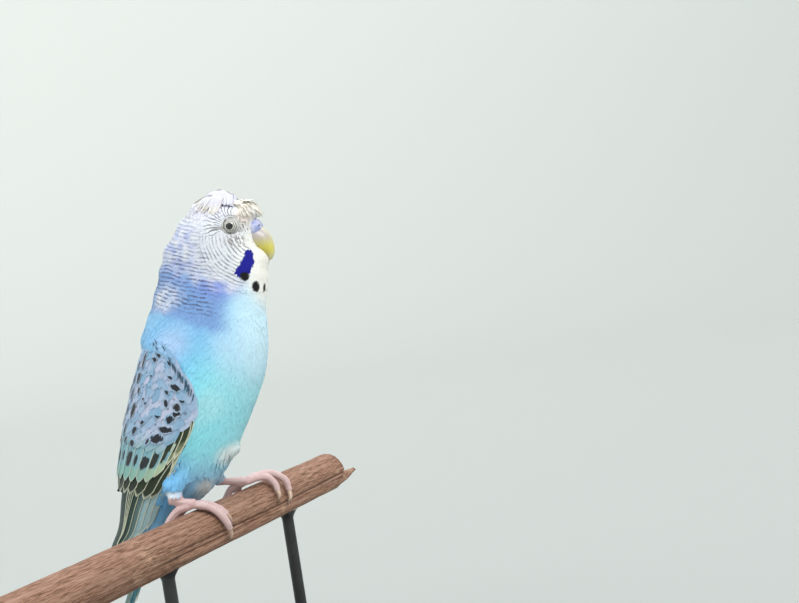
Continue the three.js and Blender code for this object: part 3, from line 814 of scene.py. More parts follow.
def merged_copy(node):
    """A CAD node's points in bird millimetres and its triangles, with shared corners merged."""
    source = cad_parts[node]
    mesh = source.data.copy()
    mesh.transform(source.matrix_world)
    points = read_points(mesh)
    faces = np.array([list(polygon.vertices) for polygon in mesh.polygons])
    bpy.data.meshes.remove(mesh)
    _, first, inverse = np.unique(np.round(points, 4), axis=0, return_index=True, return_inverse=True)
    return points[first], inverse.ravel()[faces]


def swollen(points, faces, amount):
    """The points pushed out along their normals, to close the thin gaps between solids."""
    normal = np.zeros_like(points)
    corners = points[faces]
    face_normal = np.cross(corners[:, 1] - corners[:, 0], corners[:, 2] - corners[:, 0])
    for k in range(3):
        np.add.at(normal, faces[:, k], face_normal)
    return points + unit(normal) * amount


def globe(rings, sides):
    """A closed unit globe, its poles on Z."""
    polar = np.linspace(0, math.pi, rings + 2)[1:-1, None]
    turn = full_turn(sides)[None]
    loops = [np.sin(polar) * np.cos(turn), np.sin(polar) * np.sin(turn), np.cos(polar) + 0 * turn]
    return tube(np.stack(loops, axis=-1))


def gathered(shells):
    """The points and faces of many shells as one list of each."""
    points, faces, first = [], [], 0
    for shell_points, shell_faces in shells:
        points.append(shell_points)
        faces += [tuple(i + first for i in face) for face in shell_faces]
        first += len(shell_points)
    return np.vstack(points), faces


shells = []
for node in FLESH:
    points, faces = merged_copy(node)
    shells.append((swollen(points, faces, SWELL), faces.tolist()))
for centre, radii in CUSHIONS.values():
    points, faces = globe(24, 32)
    shells.append((points * radii + centre, outward(points, faces)))
for label, foot in FEET.items():
    knuckle = on_perch([foot["knuckle"]])[0]
    shank = np.array(foot["heel"]) + (np.array(foot["heel"]) - knuckle) * 0.12
    tubes = [limb([shank, (shank + knuckle) / 2, knuckle], TARSUS_RADII)]
    if label == "right":
        tubes.append(limb(TAIL_BASE, TAIL_BASE_RADII, 20))
    for places in foot["toes"].values():
        line = on_perch(places)
        start = [knuckle * 0.6 + line[0] * 0.4, line[0] * 0.9 + line[1] * 0.1]
        tubes.append(limb(np.vstack([start, line[1:]]), TOE_RADII, pads=0.05))
    shells += [(points, outward(points, faces)) for points, faces in tubes]

skin = mesh_object("skin", *gathered(shells))
remesh = skin.modifiers.new("melt", "REMESH")
remesh.mode = "VOXEL"
remesh.voxel_size = SKIN_VOXEL * MM
remesh.adaptivity = 0.0


def evaluated_mesh(piece):
    """A plain mesh of what a piece's modifiers make of it."""
    graph = bpy.context.evaluated_depsgraph_get()
    return bpy.data.meshes.new_from_object(piece.evaluated_get(graph))


loose_shells = skin.data
melted = evaluated_mesh(skin)
skin.modifiers.clear()
skin.data = melted
bpy.data.meshes.remove(loose_shells)
print("melted skin", len(skin.data.polygons), "faces")

# %% Smooth the skin and draw it in
FOOT_TOP = 7.0
BARE_FROM = 0.25
WING_SINK = 1.2
FRONT_EDGE_SINK = 0.8
points = read_points(skin.data)
edge_ends = rows_of(skin.data.edges, "vertices", 2, int)
neighbours = np.bincount(edge_ends.ravel(), minlength=len(points))[:, None]

LINE_POINTS = 30
foot_lines = []
for foot in FEET.values():
    heel, knuckle = np.array(foot["heel"]), on_perch([foot["knuckle"]])[0]
    lines = [np.array([between(heel, knuckle, BARE_FROM), knuckle])]
    lines += [on_perch(places) for places in foot["toes"].values()]
    foot_lines += [through(line, np.linspace(0, len(line) - 1, LINE_POINTS)) for line in lines]


def from_foot(points):
    """Distance from each point to the feet's own lines, in millimetres."""
    near = np.full(len(points), FAR)
    low = points[:, 2] < 14
    for line in foot_lines:
        away = np.linalg.norm(points[low][:, None] - line[None], axis=2).min(1)
        near[low] = np.minimum(near[low], away)
    return near


bare_foot = 1 - smoothstep(2.4, 4.2, from_foot(points))
bare_foot = bare_foot * (1 - smoothstep(FOOT_TOP - 2.5, FOOT_TOP, points[:, 2] - 0.25 * np.abs(points[:, 1])))


def relaxed(values, rounds, amount):
    """Values of points eased towards the average of their neighbours."""
    for _ in range(rounds):
        total = np.zeros_like(values)
        np.add.at(total, edge_ends[:, 0], values[edge_ends[:, 1]])
        np.add.at(total, edge_ends[:, 1], values[edge_ends[:, 0]])
        values = values + (total / neighbours - values) * amount
    return values


points = relaxed(points, 22, 0.5 * (1 - 0.93 * bare_foot)[:, None])
height = along_body(points)[0]
throat = smoothstep(84, 91, height) * (1 - smoothstep(106, 113, height))
points = relaxed(points, 90, 0.5 * throat[:, None])


def write_points(mesh, points):
    mesh.vertices.foreach_set("co", metres(points).ravel())
    mesh.update()


def node_distance(nodes, points):
    """Distance from each point to the surface of the nearest of some CAD nodes, in millimetres."""
    near = np.full(len(points), FAR)
    for node in nodes:
        node_points, node_faces = merged_copy(node)
        tree = BVHTree.FromPolygons([Vector(p) for p in node_points], node_faces.tolist())
        near = np.minimum(near, [tree.find_nearest(Vector(p))[3] for p in points])
    return near


write_points(skin.data, points)
normals = relaxed(read_normals(skin.data), 3, 0.5)
COAT_DEPTH_BODY = 0.5
COAT_DEPTH_FACE = 0.55
height, angle, radius = along_body(points)
coat_depth = between(COAT_DEPTH_BODY, COAT_DEPTH_FACE, smoothstep(100, 116, height))
wing_gap = np.full(len(points), FAR)
low_enough = points[:, 2] < 78
wing_gap[low_enough] = node_distance(["wing_left", "wing_right"], points[low_enough])
on_wing = (wing_gap < 0.9) | (wing_gap < 1.8) & (points[:, 0] < -36)
wing_level = np.zeros(len(points))
wing_share = np.zeros(len(points))
wing_level[on_wing], wing_share[on_wing] = wing_place(points[on_wing])
over_edge = smoothstep(0.88, 0.94, wing_share) * smoothstep(4.0, 4.8, wing_level)
tucked = on_wing * (1 - np.maximum(over_edge, smoothstep(7.7, 8.3, wing_level)))
front_edge = on_wing * smoothstep(0.86, 0.98, wing_share)
front_edge = front_edge * smoothstep(3.4, 4.4, wing_level) * (1 - smoothstep(6.6, 7.4, wing_level))
deeper = WING_SINK * tucked + FRONT_EDGE_SINK * front_edge
coat_depth = coat_depth + relaxed(deeper[:, None], 5, 0.5)[:, 0]
draw_in = (SWELL + coat_depth) * (1 - bare_foot)
points = points - unit(normals) * draw_in[:, None]
front_crease = on_wing * smoothstep(0.88, 0.92, wing_share) * smoothstep(4.6, 5.2, wing_level)
front_crease = np.clip(4 * relaxed(front_crease[:, None], 10, 0.5), 0, 1)
points = relaxed(points, 60, 0.5 * front_crease)
write_points(skin.data, points)
print("skin drawn in by", round(float(draw_in.max()), 2), "mm at most")

# %% [markdown]
# ## Folds round the eyes
#
# A budgerigar's eye sits in a ring of bare skin with fine concentric folds, and a wedge of bare grey
# skin runs back from it. The melted skin is too coarse for folds of a quarter of a millimetre, so the lids
# are a fine ring of their own, laid from the eyeball's edge out onto the skin, and joined to it as one mesh.

# %% The lids
EYE_OPENING = 1.82
LID_EDGE = 3.75
LID_RINGS = 34
LID_SIDES = 72
FOLD_PITCH = 0.62
FOLD_START = 2.33
FOLD_HEIGHT = 0.08


def tree_of(piece):
    """A tree of a piece's faces, in bird millimetres, for rays and nearest places."""
    polygons = [tuple(polygon.vertices) for polygon in piece.data.polygons]
    return BVHTree.FromPolygons([Vector(p) for p in read_points(piece.data)], polygons)


skin_tree = tree_of(skin)


def lid_reach(reach, turn):
    """The distance from the eye's axis that the folds follow, which wavers a little round the eye."""
    return reach + 0.07 * np.sin(3 * turn + 1.0) + 0.05 * np.sin(7 * turn)


def lid(side):
    """Points and faces of the folded ring round one eye. Side is -1 on the right and 1 on the left."""
    rim = abs(EYE_PLACE[1]) + math.sqrt(EYE_RADIUS**2 - EYE_OPENING**2) + 0.1
    points = []
    for r in np.linspace(EYE_OPENING - 0.1, LID_EDGE, LID_RINGS):
        for a in full_turn(LID_SIDES):
            x = EYE_PLACE[0] + r * math.cos(a)
            z = EYE_HEIGHT + r * math.sin(a)
            hit = skin_tree.ray_cast(Vector((x, side * 30, z)), Vector((0, -side, 0)))[0]
            ground = abs(hit.y) if hit else 10.0
            ball = abs(EYE_PLACE[1]) + math.sqrt(max(0.0, EYE_RADIUS**2 - r * r))
            share = float(smoothstep(EYE_OPENING, LID_EDGE, r))
            folds = math.cos((lid_reach(r, a) - FOLD_START) / FOLD_PITCH * 2 * math.pi)
            folds = folds * (1 - float(smoothstep(2.9, 3.6, r)))
            tuck = 0.25 * float(smoothstep(EYE_OPENING + 0.02, EYE_OPENING - 0.1, r))
            sink = 0.6 * float(smoothstep(3.1, LID_EDGE, r))
            y = between(rim, ground + 0.3, share) + FOLD_HEIGHT * folds - sink
            y = max(y, ball + 0.04) - tuck
            points.append((x, side * y, z))
    faces = grid_faces(LID_RINGS, LID_SIDES, closed=True)
    if side > 0:
        faces = [tuple(reversed(face)) for face in faces]
    return np.array(points), faces


def joined(main, others):
    """Joins meshes into the first one, as one object."""
    with bpy.context.temp_override(active_object=main, selected_editable_objects=[main] + others):
        bpy.ops.object.join()


skin_count = len(skin.data.vertices)
joined(skin, [mesh_object(f"lid_{side}", *lid(side)) for side in (-1, 1)])
print("skin with lids", len(skin.data.polygons), "faces")

# %% [markdown]
# ## Markings on the skin, and where feathers grow
#
# Each point of the skin now gets its numbers: its colour, the fine marks, how long a feather growing
# there is and which way it lies. Feathers lie away from the bill on the head and towards the tail on
# the body, and they part round the eye. No feathers grow on feet, lids, cere or bill. The wings get
# theirs in rows, later, except at the shoulder and along the front edge, where the body's feathers run
# over them.

# %% Numbers for each point of the skin
FOOT_PINK = linear((206, 172, 170))
LID_GREY = linear((206, 204, 200))
LID_GROOVE_SHADE = linear((44, 40, 40))
UNDER_WING_SHADE = linear((58, 80, 92))
BARE_RING = 3.0
NEAR_SIDE = 7.0
FEATHER_EYE = 1.5
FEATHER_FACE = 2.3
FEATHER_FOOT = 2.4
FEATHER_NECK = 4.4
FEATHER_BODY = 6.4


def flow_at(points):
    """The way a feather lies at each place, from its root to its tip."""
    height, angle, _ = along_body(points)
    from_bill = unit(points - [34.5, 0, 107.5])
    from_crest = unit(points - (CREST_ROOT + [2.0, 0, 1.5]))
    on_head = smoothstep(98, 116, height)[:, None]
    on_crown = smoothstep(114.5, 119, points[:, 2])[:, None] * on_head
    down = np.tile(-BODY_AXIS, (len(points), 1)) - 0.22 * BODY_FRONT * np.sin(angle)[:, None]
    flow = between(between(down, from_bill, on_head), from_crest, on_crown)
    eye = EYE_PLACE * np.where(points[:, 1:2] > 0, [[1, -1, 1]], [[1, 1, 1]])
    from_eye = points - eye
    near = 1 - smoothstep(3.5, 7.0, np.linalg.norm(from_eye, axis=1))
    away = unit(from_eye)
    inward = np.minimum((flow * away).sum(1), 0)
    flow = flow + away * (near * (0.3 - inward))[:, None]
    return unit(flow)


def size_at(points):
    """The length of a feather at each place, in millimetres."""
    height = along_body(points)[0]
    near_bill = 1 - smoothstep(9, 17, np.linalg.norm(points - [33, 0, 104], axis=1))
    near_eye = 1 - smoothstep(4.2, 7.5, np.linalg.norm(mirrored(points) - EYE_PLACE, axis=1))
    near_foot = 1 - smoothstep(5, 15, from_foot(points))
    length = FEATHER_BODY + 1.2 * (1 - smoothstep(2, 26, height))
    length = between(length, FEATHER_NECK, smoothstep(88, 102, height))
    length = between(length, FEATHER_FACE + 0.9, smoothstep(106, 118, height))
    length = between(length, FEATHER_FACE - 0.5, near_bill)
    length = between(length, FEATHER_EYE, near_eye * 0.9)
    return between(length, FEATHER_FOOT, near_foot)


def marking_numbers(points, roots):
    """The attributes that the plumage materials read."""
    arc, arc_dark = cheek_arcs(points)
    bar, bar_dark = neck_bars(points)
    ray, ray_dark = eye_streaks(points)
    patch = 0.35 * cheek_patch(points) + 0.65 * cheek_patch(roots)
    return {"arc": arc, "arc_dark": arc_dark, "bar": bar, "bar_dark": bar_dark,
            "ray": ray, "ray_dark": ray_dark, "speckle": brown_speckle(points),
            "spot": dark_marks(0.7 * points + 0.3 * roots), "patch": smoothstep(0.35, 0.6, patch)}


points = read_points(skin.data)
lid_count = len(points) - skin_count
bare_foot, on_wing, wing_level, wing_share = (
    np.concatenate([values, np.zeros(lid_count, values.dtype)])
    for values in (bare_foot, on_wing, wing_level, wing_share))
is_lid = np.arange(len(points)) >= skin_count
colour = plumage_colour(points)
# Skin under the folded wing is painted a dark slate, a painted shade for the gaps where it shows between the
# wing's feathers.
shaded_wing_skin = on_wing * (1 - smoothstep(4.6, 5.4, wing_level)) * (1 - smoothstep(0.62, 0.76, wing_share))
colour = blend(colour, UNDER_WING_SHADE, shaded_wing_skin)
colour = blend(colour, FOOT_PINK, smoothstep(0.05, 0.5, bare_foot))
side_points = mirrored(points)
from_eye = np.hypot(side_points[:, 0] - EYE_PLACE[0], side_points[:, 2] - EYE_HEIGHT)
eye_turn = np.arctan2(side_points[:, 2] - EYE_HEIGHT, side_points[:, 0] - EYE_PLACE[0])
on_side = np.abs(points[:, 1]) > NEAR_SIDE
# The grooves between the lids' folds are painted dark, a painted shade in the creases; beyond 2.8 mm it stays
# strong only below the eye.
fold_turn = (lid_reach(from_eye, eye_turn) - FOLD_START) / FOLD_PITCH * 2 * math.pi
fold_groove_shade = (0.5 - 0.5 * np.cos(fold_turn)) ** 4
under_eye = 0.35 + 0.65 * smoothstep(0.2, -0.6, np.sin(eye_turn))
fold_groove_shade = fold_groove_shade * (1 - smoothstep(2.8, 3.0, from_eye) * (1 - 0.6 * under_eye))
fold_groove_shade = fold_groove_shade * (1 - smoothstep(3.35, 3.6, from_eye))
lid_colour = between(LID_GREY, LID_GROOVE_SHADE, fold_groove_shade[:, None])
colour = np.where((is_lid | (from_eye < 3.5) & on_side)[:, None], lid_colour, colour)
behind_eye = blot(side_points, EYE_PLACE + [-4.9, -2.7, -0.3], np.array([2.4, 4.0, 0.85]), 0.5)
colour = blend(colour, LID_GREY * 0.5, behind_eye * 0.85)
floats = marking_numbers(points, points)
for key in ("arc_dark", "bar_dark", "ray_dark", "speckle", "spot", "patch"):
    floats[key] = floats[key] * (1 - smoothstep(0.05, 0.3, bare_foot)) * (~is_lid)
floats["size"] = size_at(points)
floats["puff"] = fluff_at(points)
keep_numbers(skin.data, floats, {"plumage": colour}, {"flow": flow_at(points), "up": read_normals(skin.data)})

bill_gap = np.full(len(points), FAR)
in_front = points[:, 0] > 24
bill_gap[in_front] = node_distance(["cere", "beak_upper"], points[in_front])
near_eye = (from_eye < BARE_RING) & on_side
feathered = (bare_foot < 0.45) & ~is_lid & (bill_gap > 0.6) & ~near_eye & (behind_eye < 0.6)
over_wing = on_wing & (
    (wing_level > 8.0)
    | (wing_level > 6.6) & (wing_share > 0.9)
    | (wing_level > 4.2) & (wing_share > 0.945)
    | (wing_level <= 4.6) & (wing_share > 0.92) & (side_points[:, 0] > -22))
print("feathers grow on", round(100 * feathered.mean()), "per cent of the skin")

# %% [markdown]
# ## The plumage material
#
# Skin and small feathers share one recipe: the colour comes from the piece's own numbers, and fine
# bars, eye streaks, spots and the violet patch are drawn over it at full sharpness. A little sheen
# gives plumage its soft bloom at a glancing angle, and the feathers add their own silk.

# %% Plumage materials
ARC_PITCH = 1.34
BAR_PITCH = 1.6
RAY_PITCH = 0.17
ARC_GREY = linear((126, 130, 140))
BAR_GREY = linear((86, 96, 128))
RAY_GREY = linear((96, 98, 100))
SPECKLE_BROWN = linear((104, 88, 80))


STRIPED_MARKS = [
    # number, pitch, where the wave gets dark, where noise breaks it, how dark it gets, colour
    ("arc", ARC_PITCH, (0.15, 0.85), (0.38, 0.56), (0.15, 0.9), ARC_GREY),
    ("bar", BAR_PITCH, (-0.35, 0.75), (0.36, 0.54), (0.1, 0.85), BAR_GREY),
    ("ray", RAY_PITCH, (0.4, 0.95), (0.34, 0.48), (0.0, 1.0), RAY_GREY),
]


def finished(piece, material, slot, *nodes):
    """Gives a made piece its material and its body, and hides the nodes that it stands for. The slot is not
    used.
    """
    piece.data.materials.append(material)
    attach(piece, "root")
    if nodes:
        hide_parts(*nodes)


def plumage_material(name, with_barbs):
    material, n, shader = new_material(name, Roughness=0.72, Specular_IOR_Level=0.22, Sheen_Weight=0.22,
                                       Sheen_Roughness=0.45)
    colour = n.attribute("plumage", "Color")
    ragged = n.times(n.noise(n.place(), 1500.0), 1.8)
    broken = n.noise(n.place(), 420.0)
    for key, pitch, rise, breaks, darkness, grey in STRIPED_MARKS:
        wave = n.math("SINE", n.times_plus(n.attribute(key), 2 * math.pi / pitch, ragged))
        dark = n.times(n.range(wave, *rise), n.attribute(f"{key}_dark"), n.range(broken, *breaks, *darkness))
        colour = n.mix(dark, colour, grey)
    flecks = n.range(n.noise(n.place(), 1000.0, 3.0, 0.7), 0.48, 0.62)
    colour = n.mix(n.times(flecks, n.times(n.attribute("speckle"), 0.9)), colour, SPECKLE_BROWN)
    colour = n.mix(n.attribute("patch"), colour, VIOLET)
    colour = n.mix(n.attribute("spot"), colour, INK)
    if with_barbs:
        lines, _, silk = barbs(n, 9.0, 1.2)
        colour = n.toned(colour, n.plus(n.times_plus(silk, 0.26, 0.87), n.times(lines, 0.04)))
        n.surface(shader, colour, n.times_plus(silk, 2.0, lines), 0.2, 0.0001)
    else:
        n.surface(shader, colour, mottle(n, 0.9)[1], 0.35, 0.0002)
    return material


skin_material = plumage_material("skin under the plumage", False)
coat_material = plumage_material("small feathers", True)
skin.data.materials.clear()
finished(skin, skin_material, "feather_body", *FLESH, "foot_left", "foot_right")
print("skin done:", len(skin.data.vertices), "points")

# %% [markdown]
# ## Small feathers, planted by Geometry Nodes
#
# Tens of thousands of feathers are too many to place by hand. A node tree scatters points on a patch
# of skin no closer than a given spacing, and plants one small vane on each, turned to the lie of the
# coat. The vane is a slim closed lens with a round back, and keeps u and v, so that the barbs know
# their way. A straight vane would stand off a curved body, so the tree then lays every point of it
# back on the skin: it finds the nearest place on the skin and lifts the point off it by a height that
# grows from root to tip. Each feather so lies on the roots of the next ones, as tiles do.

# %% The vane, and the tree that plants it
CLEARANCE = 0.02 * MM
VANE_STATIONS = [
    # v from root to tip, half width, thickness
    (0.12, 0.55, 0.4), (0.45, 1.0, 1.0), (0.76, 0.86, 0.85), (0.93, 0.5, 0.5),
]


def vane_mesh():
    """One feather, a unit long and two wide: a lens with a flat underside, pointed at both ends."""
    rings = [[(-half, v, 0.0), (0.0, v + 0.02, thick), (half, v, 0.0)] for v, half, thick in VANE_STATIONS]
    points = np.vstack(rings + [[(0, 0, 0), (0, 1, 0)]])
    end = 3 * len(rings)
    faces = grid_faces(len(rings), 3, closed=True)
    faces += [(end, (k + 1) % 3, k) for k in range(3)]
    faces += [(end + 1, end - 3 + k, end - 3 + (k + 1) % 3) for k in range(3)]
    u = np.concatenate([np.tile([-1.0, 0.0, 1.0], len(rings)), [0, 0]])
    numbers = {"u": u, "v": points[:, 1], "thick": points[:, 2]}
    return mesh_object("vane", points / MM, outward(points, faces), numbers)


vane_pattern = vane_mesh()
VANE_TRIANGLES = sum(len(polygon.vertices) - 2 for polygon in vane_pattern.data.polygons)


def geometry_tree(name, inputs):
    geometry = "NodeSocketGeometry"
    inputs = {"Geometry": (geometry, None), **inputs}
    return new_group(name, inputs, {"Geometry": geometry}, "GeometryNodeTree")


def store(nodes, geometry, name, value, kind="FLOAT"):
    inputs = {"Geometry": geometry, "Name": name, "Value": value}
    return nodes.add("GeometryNodeStoreNamedAttribute", inputs, data_type=kind).outputs["Geometry"]


def read(nodes, name, kind="FLOAT"):
    return nodes.add("GeometryNodeInputNamedAttribute", {"Name": name}, data_type=kind).outputs["Attribute"]


def chance(nodes, seed):
    """A random number from 0 to 1 for each point."""
    return nodes.add("FunctionNodeRandomValue", {"Seed": seed}, data_type="FLOAT").outputs[1]


def facing(nodes, first, second, first_way, second_way):
    """The turn that points one axis of an instance in the first way and another towards the second."""
    inputs = {"Primary Axis": first_way, "Secondary Axis": second_way}
    node = nodes.add("FunctionNodeAxesToRotation", inputs, primary_axis=first, secondary_axis=second)
    return node.outputs[0]


coat_tree, n, given, made = geometry_tree("plant feathers", {
    "Skin": ("NodeSocketObject", None),
    "Vane": ("NodeSocketObject", None),
    "Spacing": ("NodeSocketFloat", 0.001),
    "Width": ("NodeSocketFloat", 0.7),
    "Rise": ("NodeSocketFloat", 0.15),
    "Thickness": ("NodeSocketFloat", 0.03),
    "Scatter": ("NodeSocketFloat", 0.1),
    "Seed": ("NodeSocketInt", 1),
    "Material": ("NodeSocketMaterial", None),
})
vane = n.add("GeometryNodeObjectInfo", {"Object": given["Vane"]}).outputs["Geometry"]
v = read(n, "v")

density = n.math("DIVIDE", 1.6, n.times(given["Spacing"], given["Spacing"]))
spread = n.add("GeometryNodeDistributePointsOnFaces", {
    "Mesh": given["Geometry"], "Distance Min": given["Spacing"], "Density Max": density,
    "Seed": given["Seed"],
}, distribute_method="POISSON")
own_place = n.add("GeometryNodeInputPosition").outputs[0]
planted = store(n, spread.outputs["Points"], "root", own_place, "FLOAT_VECTOR")
planted = store(n, planted, "lot", chance(n, given["Seed"]))
along_flow = facing(n, "Z", "Y", spread.outputs["Normal"], read(n, "flow", "FLOAT_VECTOR"))
stray = chance(n, n.plus(given["Seed"], 11))
astray = n.times(n.times_plus(stray, 2.0, -1.0), given["Scatter"])
looser = n.times(astray, n.times_plus(read(n, "puff"), 4.0, 1.0))
yaw = n.add("ShaderNodeCombineXYZ", {"Z": looser}).outputs[0]
turned = n.add("FunctionNodeRotateRotation", {"Rotation": along_flow, "Rotate By": yaw},
               rotation_space="LOCAL")
size = n.times(read(n, "size"), MM)
sized = n.times(size, n.times_plus(read(n, "lot"), 0.3, 0.85))
wide = n.times(sized, given["Width"], 0.5)
plant = n.add("GeometryNodeInstanceOnPoints", {
    "Points": planted, "Instance": vane, "Rotation": turned.outputs[0],
    "Scale": n.combine(wide, sized, sized)})
real = n.add("GeometryNodeRealizeInstances", {"Geometry": plant.outputs[0]}).outputs[0]

ground_shape = n.add("GeometryNodeObjectInfo", {"Object": given["Skin"]}).outputs["Geometry"]
nearest = n.add("GeometryNodeProximity", {0: ground_shape}, target_element="FACES").outputs["Position"]
skin_up = read(n, "up", "FLOAT_VECTOR")
above = n.add("GeometryNodeSampleNearestSurface", {0: ground_shape}, data_type="FLOAT_VECTOR")
n.join(skin_up, above.inputs["Value"])
real = store(n, real, "up", above.outputs["Value"], "FLOAT_VECTOR")
uneven = n.times_plus(n.math("SUBTRACT", read(n, "lot"), 0.5), 0.5, 1.0)
loose = n.times_plus(n.times(read(n, "puff"), read(n, "lot")), 1.6, uneven)
height = n.times(size, given["Rise"], loose, v)
body = n.times(size, n.times(read(n, "thick"), given["Thickness"]))
height = n.plus(n.plus(height, body), CLEARANCE)
lifted = n.add("ShaderNodeVectorMath", {0: skin_up, "Scale": height}, operation="SCALE").outputs[0]
laid_at = n.vector("ADD", nearest, lifted)
laid = n.add("GeometryNodeSetPosition", {"Geometry": real, "Position": laid_at}).outputs[0]
painted = n.add("GeometryNodeSetMaterial", {"Geometry": laid, "Material": given["Material"]}).outputs[0]
n.join(painted, made["Geometry"])


def grown(name, ground, tree, settings):
    """Puts a node tree on an object, keeps what it makes as a plain mesh, and drops the modifier."""
    modifier = ground.modifiers.new("grow", "NODES")
    modifier.node_group = tree
    for item in tree.interface.items_tree:
        if item.in_out == "INPUT" and item.name in settings:
            modifier[item.identifier] = settings[item.name]
    mesh = evaluated_mesh(ground)
    ground.modifiers.clear()
    mesh.name = name
    return placed(name, mesh)


print("coat tree", len(coat_tree.nodes), "nodes")

# %% [markdown]
# ## Patches of coat
#
# The coat is grown patch by patch, because the feathers' size and spacing change from face to belly,
# and so that no piece gets too heavy. The patches' borders waver, so that none shows as a line. Marks
# such as the violet patch are read mostly at a feather's root, since a real feather has one colour of
# its own, and that gives their edges a ragged look. The normals lean towards those of the skin below:
# soft plumage scatters light much as one smooth surface does. Each piece also gets a flat map on which
# every feather is a tiny patch, at its root's place on an unwrap of the body.

# %% Grow the coat
PATCH = 0.003
SOFT_NORMALS = 0.8
FIRST_SEED = 20
STRETCH_LIMIT = 1.8
BEND_LIMIT = 0.5
WORKING_NUMBERS = ("root", "up", "flow", "size", "puff", "thick")


def skin_patch(name, chosen):
    """A copy of the skin that keeps only the chosen points' faces."""
    mesh = skin.data.copy()
    mesh.name = name
    keep = np.array([all(chosen[i] for i in polygon.vertices) for polygon in mesh.polygons])
    work = bmesh.new()
    work.from_mesh(mesh)
    work.faces.ensure_lookup_table()
    lost = [face for face, kept in zip(work.faces, keep) if not kept]
    bmesh.ops.delete(work, geom=lost, context="FACES")
    work.to_mesh(mesh)
    work.free()
    return placed(name, mesh)


def read_attribute(mesh, key, width=1):
    """One named number or direction of all a mesh's points."""
    return rows_of(mesh.attributes[key].data, "value" if width == 1 else "vector", width)


def body_unwrap(points):
    """The skin cut open down the back and laid flat: round the body, and along it over the crown."""
    height, angle, radius = along_body(points)
    return np.column_stack([np.sign(points[:, 1]) * angle / (2 * math.pi), height - 0.9 * radius])


def write_map(mesh, flat):
    mesh.uv_layers.new(name="OFBake").data.foreach_set("uv", flat[read_corners(mesh)].ravel())


def bake_map(mesh, roots, u, v):
    """Adds the flat map: each feather a patch at its root's place on the unwrapped body."""
    flat = body_unwrap(roots)
    low, high = flat.min(0), flat.max(0)
    flat = PATCH + (flat - low) / np.maximum(high - low, 1e-6) * (1 - 2 * PATCH)
    flat = flat + np.column_stack([u * 0.5, v - 0.5]) * PATCH
    write_map(mesh, flat)


def drop_stretched(mesh):
    """Removes vanes that were laid across a hollow, such as from thigh to belly, and came out too long."""
    each = len(VANE_STATIONS) * 3 + 2
    points = read_points(mesh).reshape(-1, each, 3)
    up = unit(read_attribute(mesh, "up", 3)).reshape(-1, each, 3)
    size = read_attribute(mesh, "size").reshape(-1, each).mean(1)
    line = points[:, [each - 2] + list(range(1, each - 2, 3)) + [each - 1]]
    steps = np.linalg.norm(np.diff(line[:, 1:-1], axis=1), axis=2)
    rest = np.diff([v for v, _, _ in VANE_STATIONS])
    stretch = (steps / (rest * size[:, None])).max(1)
    bent = (up[:, each - 2] * up[:, each - 1]).sum(1)
    lost = (stretch > STRETCH_LIMIT) | (bent < BEND_LIMIT)
    work = bmesh.new()
    work.from_mesh(mesh)
    work.verts.ensure_lookup_table()
    lost = [work.verts[k] for k in np.flatnonzero(np.repeat(lost, each))]
    bmesh.ops.delete(work, geom=lost, context="VERTS")
    work.to_mesh(mesh)
    work.free()


def lean_normals(mesh, up):
    """Normals that lean towards the skin's own, outwards on a vane's top and inwards on its underside."""
    corners = read_corners(mesh)
    face_sizes = rows_of(mesh.polygons, "loop_total", 1, int)
    flat = np.repeat(rows_of(mesh.polygons, "normal"), face_sizes, axis=0)
    side = np.where((flat * up[corners]).sum(1) < 0, -1.0, 1.0)[:, None]
    own = np.where(side < 0, flat, read_normals(mesh)[corners])
    soft = unit(between(own, up[corners] * side, SOFT_NORMALS))
    mesh.normals_split_custom_set(soft.tolist())


def finish_coat(piece):
    """Colours a grown patch, softens its normals, and gives it its map and its body."""
    mesh = piece.data
    drop_stretched(mesh)
    points = read_points(mesh)
    roots = millimetres(read_attribute(mesh, "root", 3))
    up = unit(read_attribute(mesh, "up", 3))
    u, v, lot = (read_attribute(mesh, key) for key in ("u", "v", "lot"))
    colour = plumage_colour(0.5 * points + 0.5 * roots) * (1 + 0.06 * (lot - 0.5))[:, None]
    colour = np.clip(colour * (0.97 + 0.04 * v)[:, None], 0, 1)
    keep_numbers(mesh, marking_numbers(points, roots), {"plumage": colour})
    shade_smooth(mesh)
    lean_normals(mesh, up)
    bake_map(mesh, roots, u, v)
    for key in WORKING_NUMBERS:
        mesh.attributes.remove(mesh.attributes[key])
    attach(piece, "root")


height, angle, radius = along_body(points)
cover = feathered & (~on_wing | over_wing)
border = height + 3.2 * wobble(points, 5.0, 30.0)
near_face = feathered & (border > 107) & (np.linalg.norm(side_points - [30, -6, 103], axis=1) < 17.5)
head_rest = feathered & (border > 107) & ~near_face
neck = cover & (border <= 108.2) & (border > 85)
breast = cover & (border <= 86.6) & (border > 42) & (angle < 1.9)
belly = cover & (border <= 43.5) & (angle < 1.75) & (points[:, 2] > -4)
back = cover & (border <= 86.6) & ((angle >= 1.82) | (border <= 43.5) & (angle >= 1.68))
vent = cover & (border <= 43.5) & (angle < 1.75) & (points[:, 2] <= -3)
COATS = {
    # patch: chosen skin, slot, spacing in mm, width, rise and thickness as shares of length, scatter
    "coat_face": (near_face, "feather_face", 0.42, 0.40, 0.12, 0.04, 0.12),
    "coat_head": (head_rest, "feather_face", 0.50, 0.32, 0.09, 0.03, 0.14),
    "coat_neck": (neck, "feather_body", 0.58, 0.22, 0.075, 0.018, 0.10),
    "coat_breast": (breast, "feather_body", 0.64, 0.19, 0.07, 0.016, 0.09),
    "coat_belly": (belly, "feather_body", 0.64, 0.19, 0.085, 0.016, 0.12),
    "coat_vent": (vent, "feather_body", 0.66, 0.19, 0.07, 0.016, 0.14),
    "coat_back": (back, "feather_body", 0.70, 0.22, 0.055, 0.016, 0.08),
}
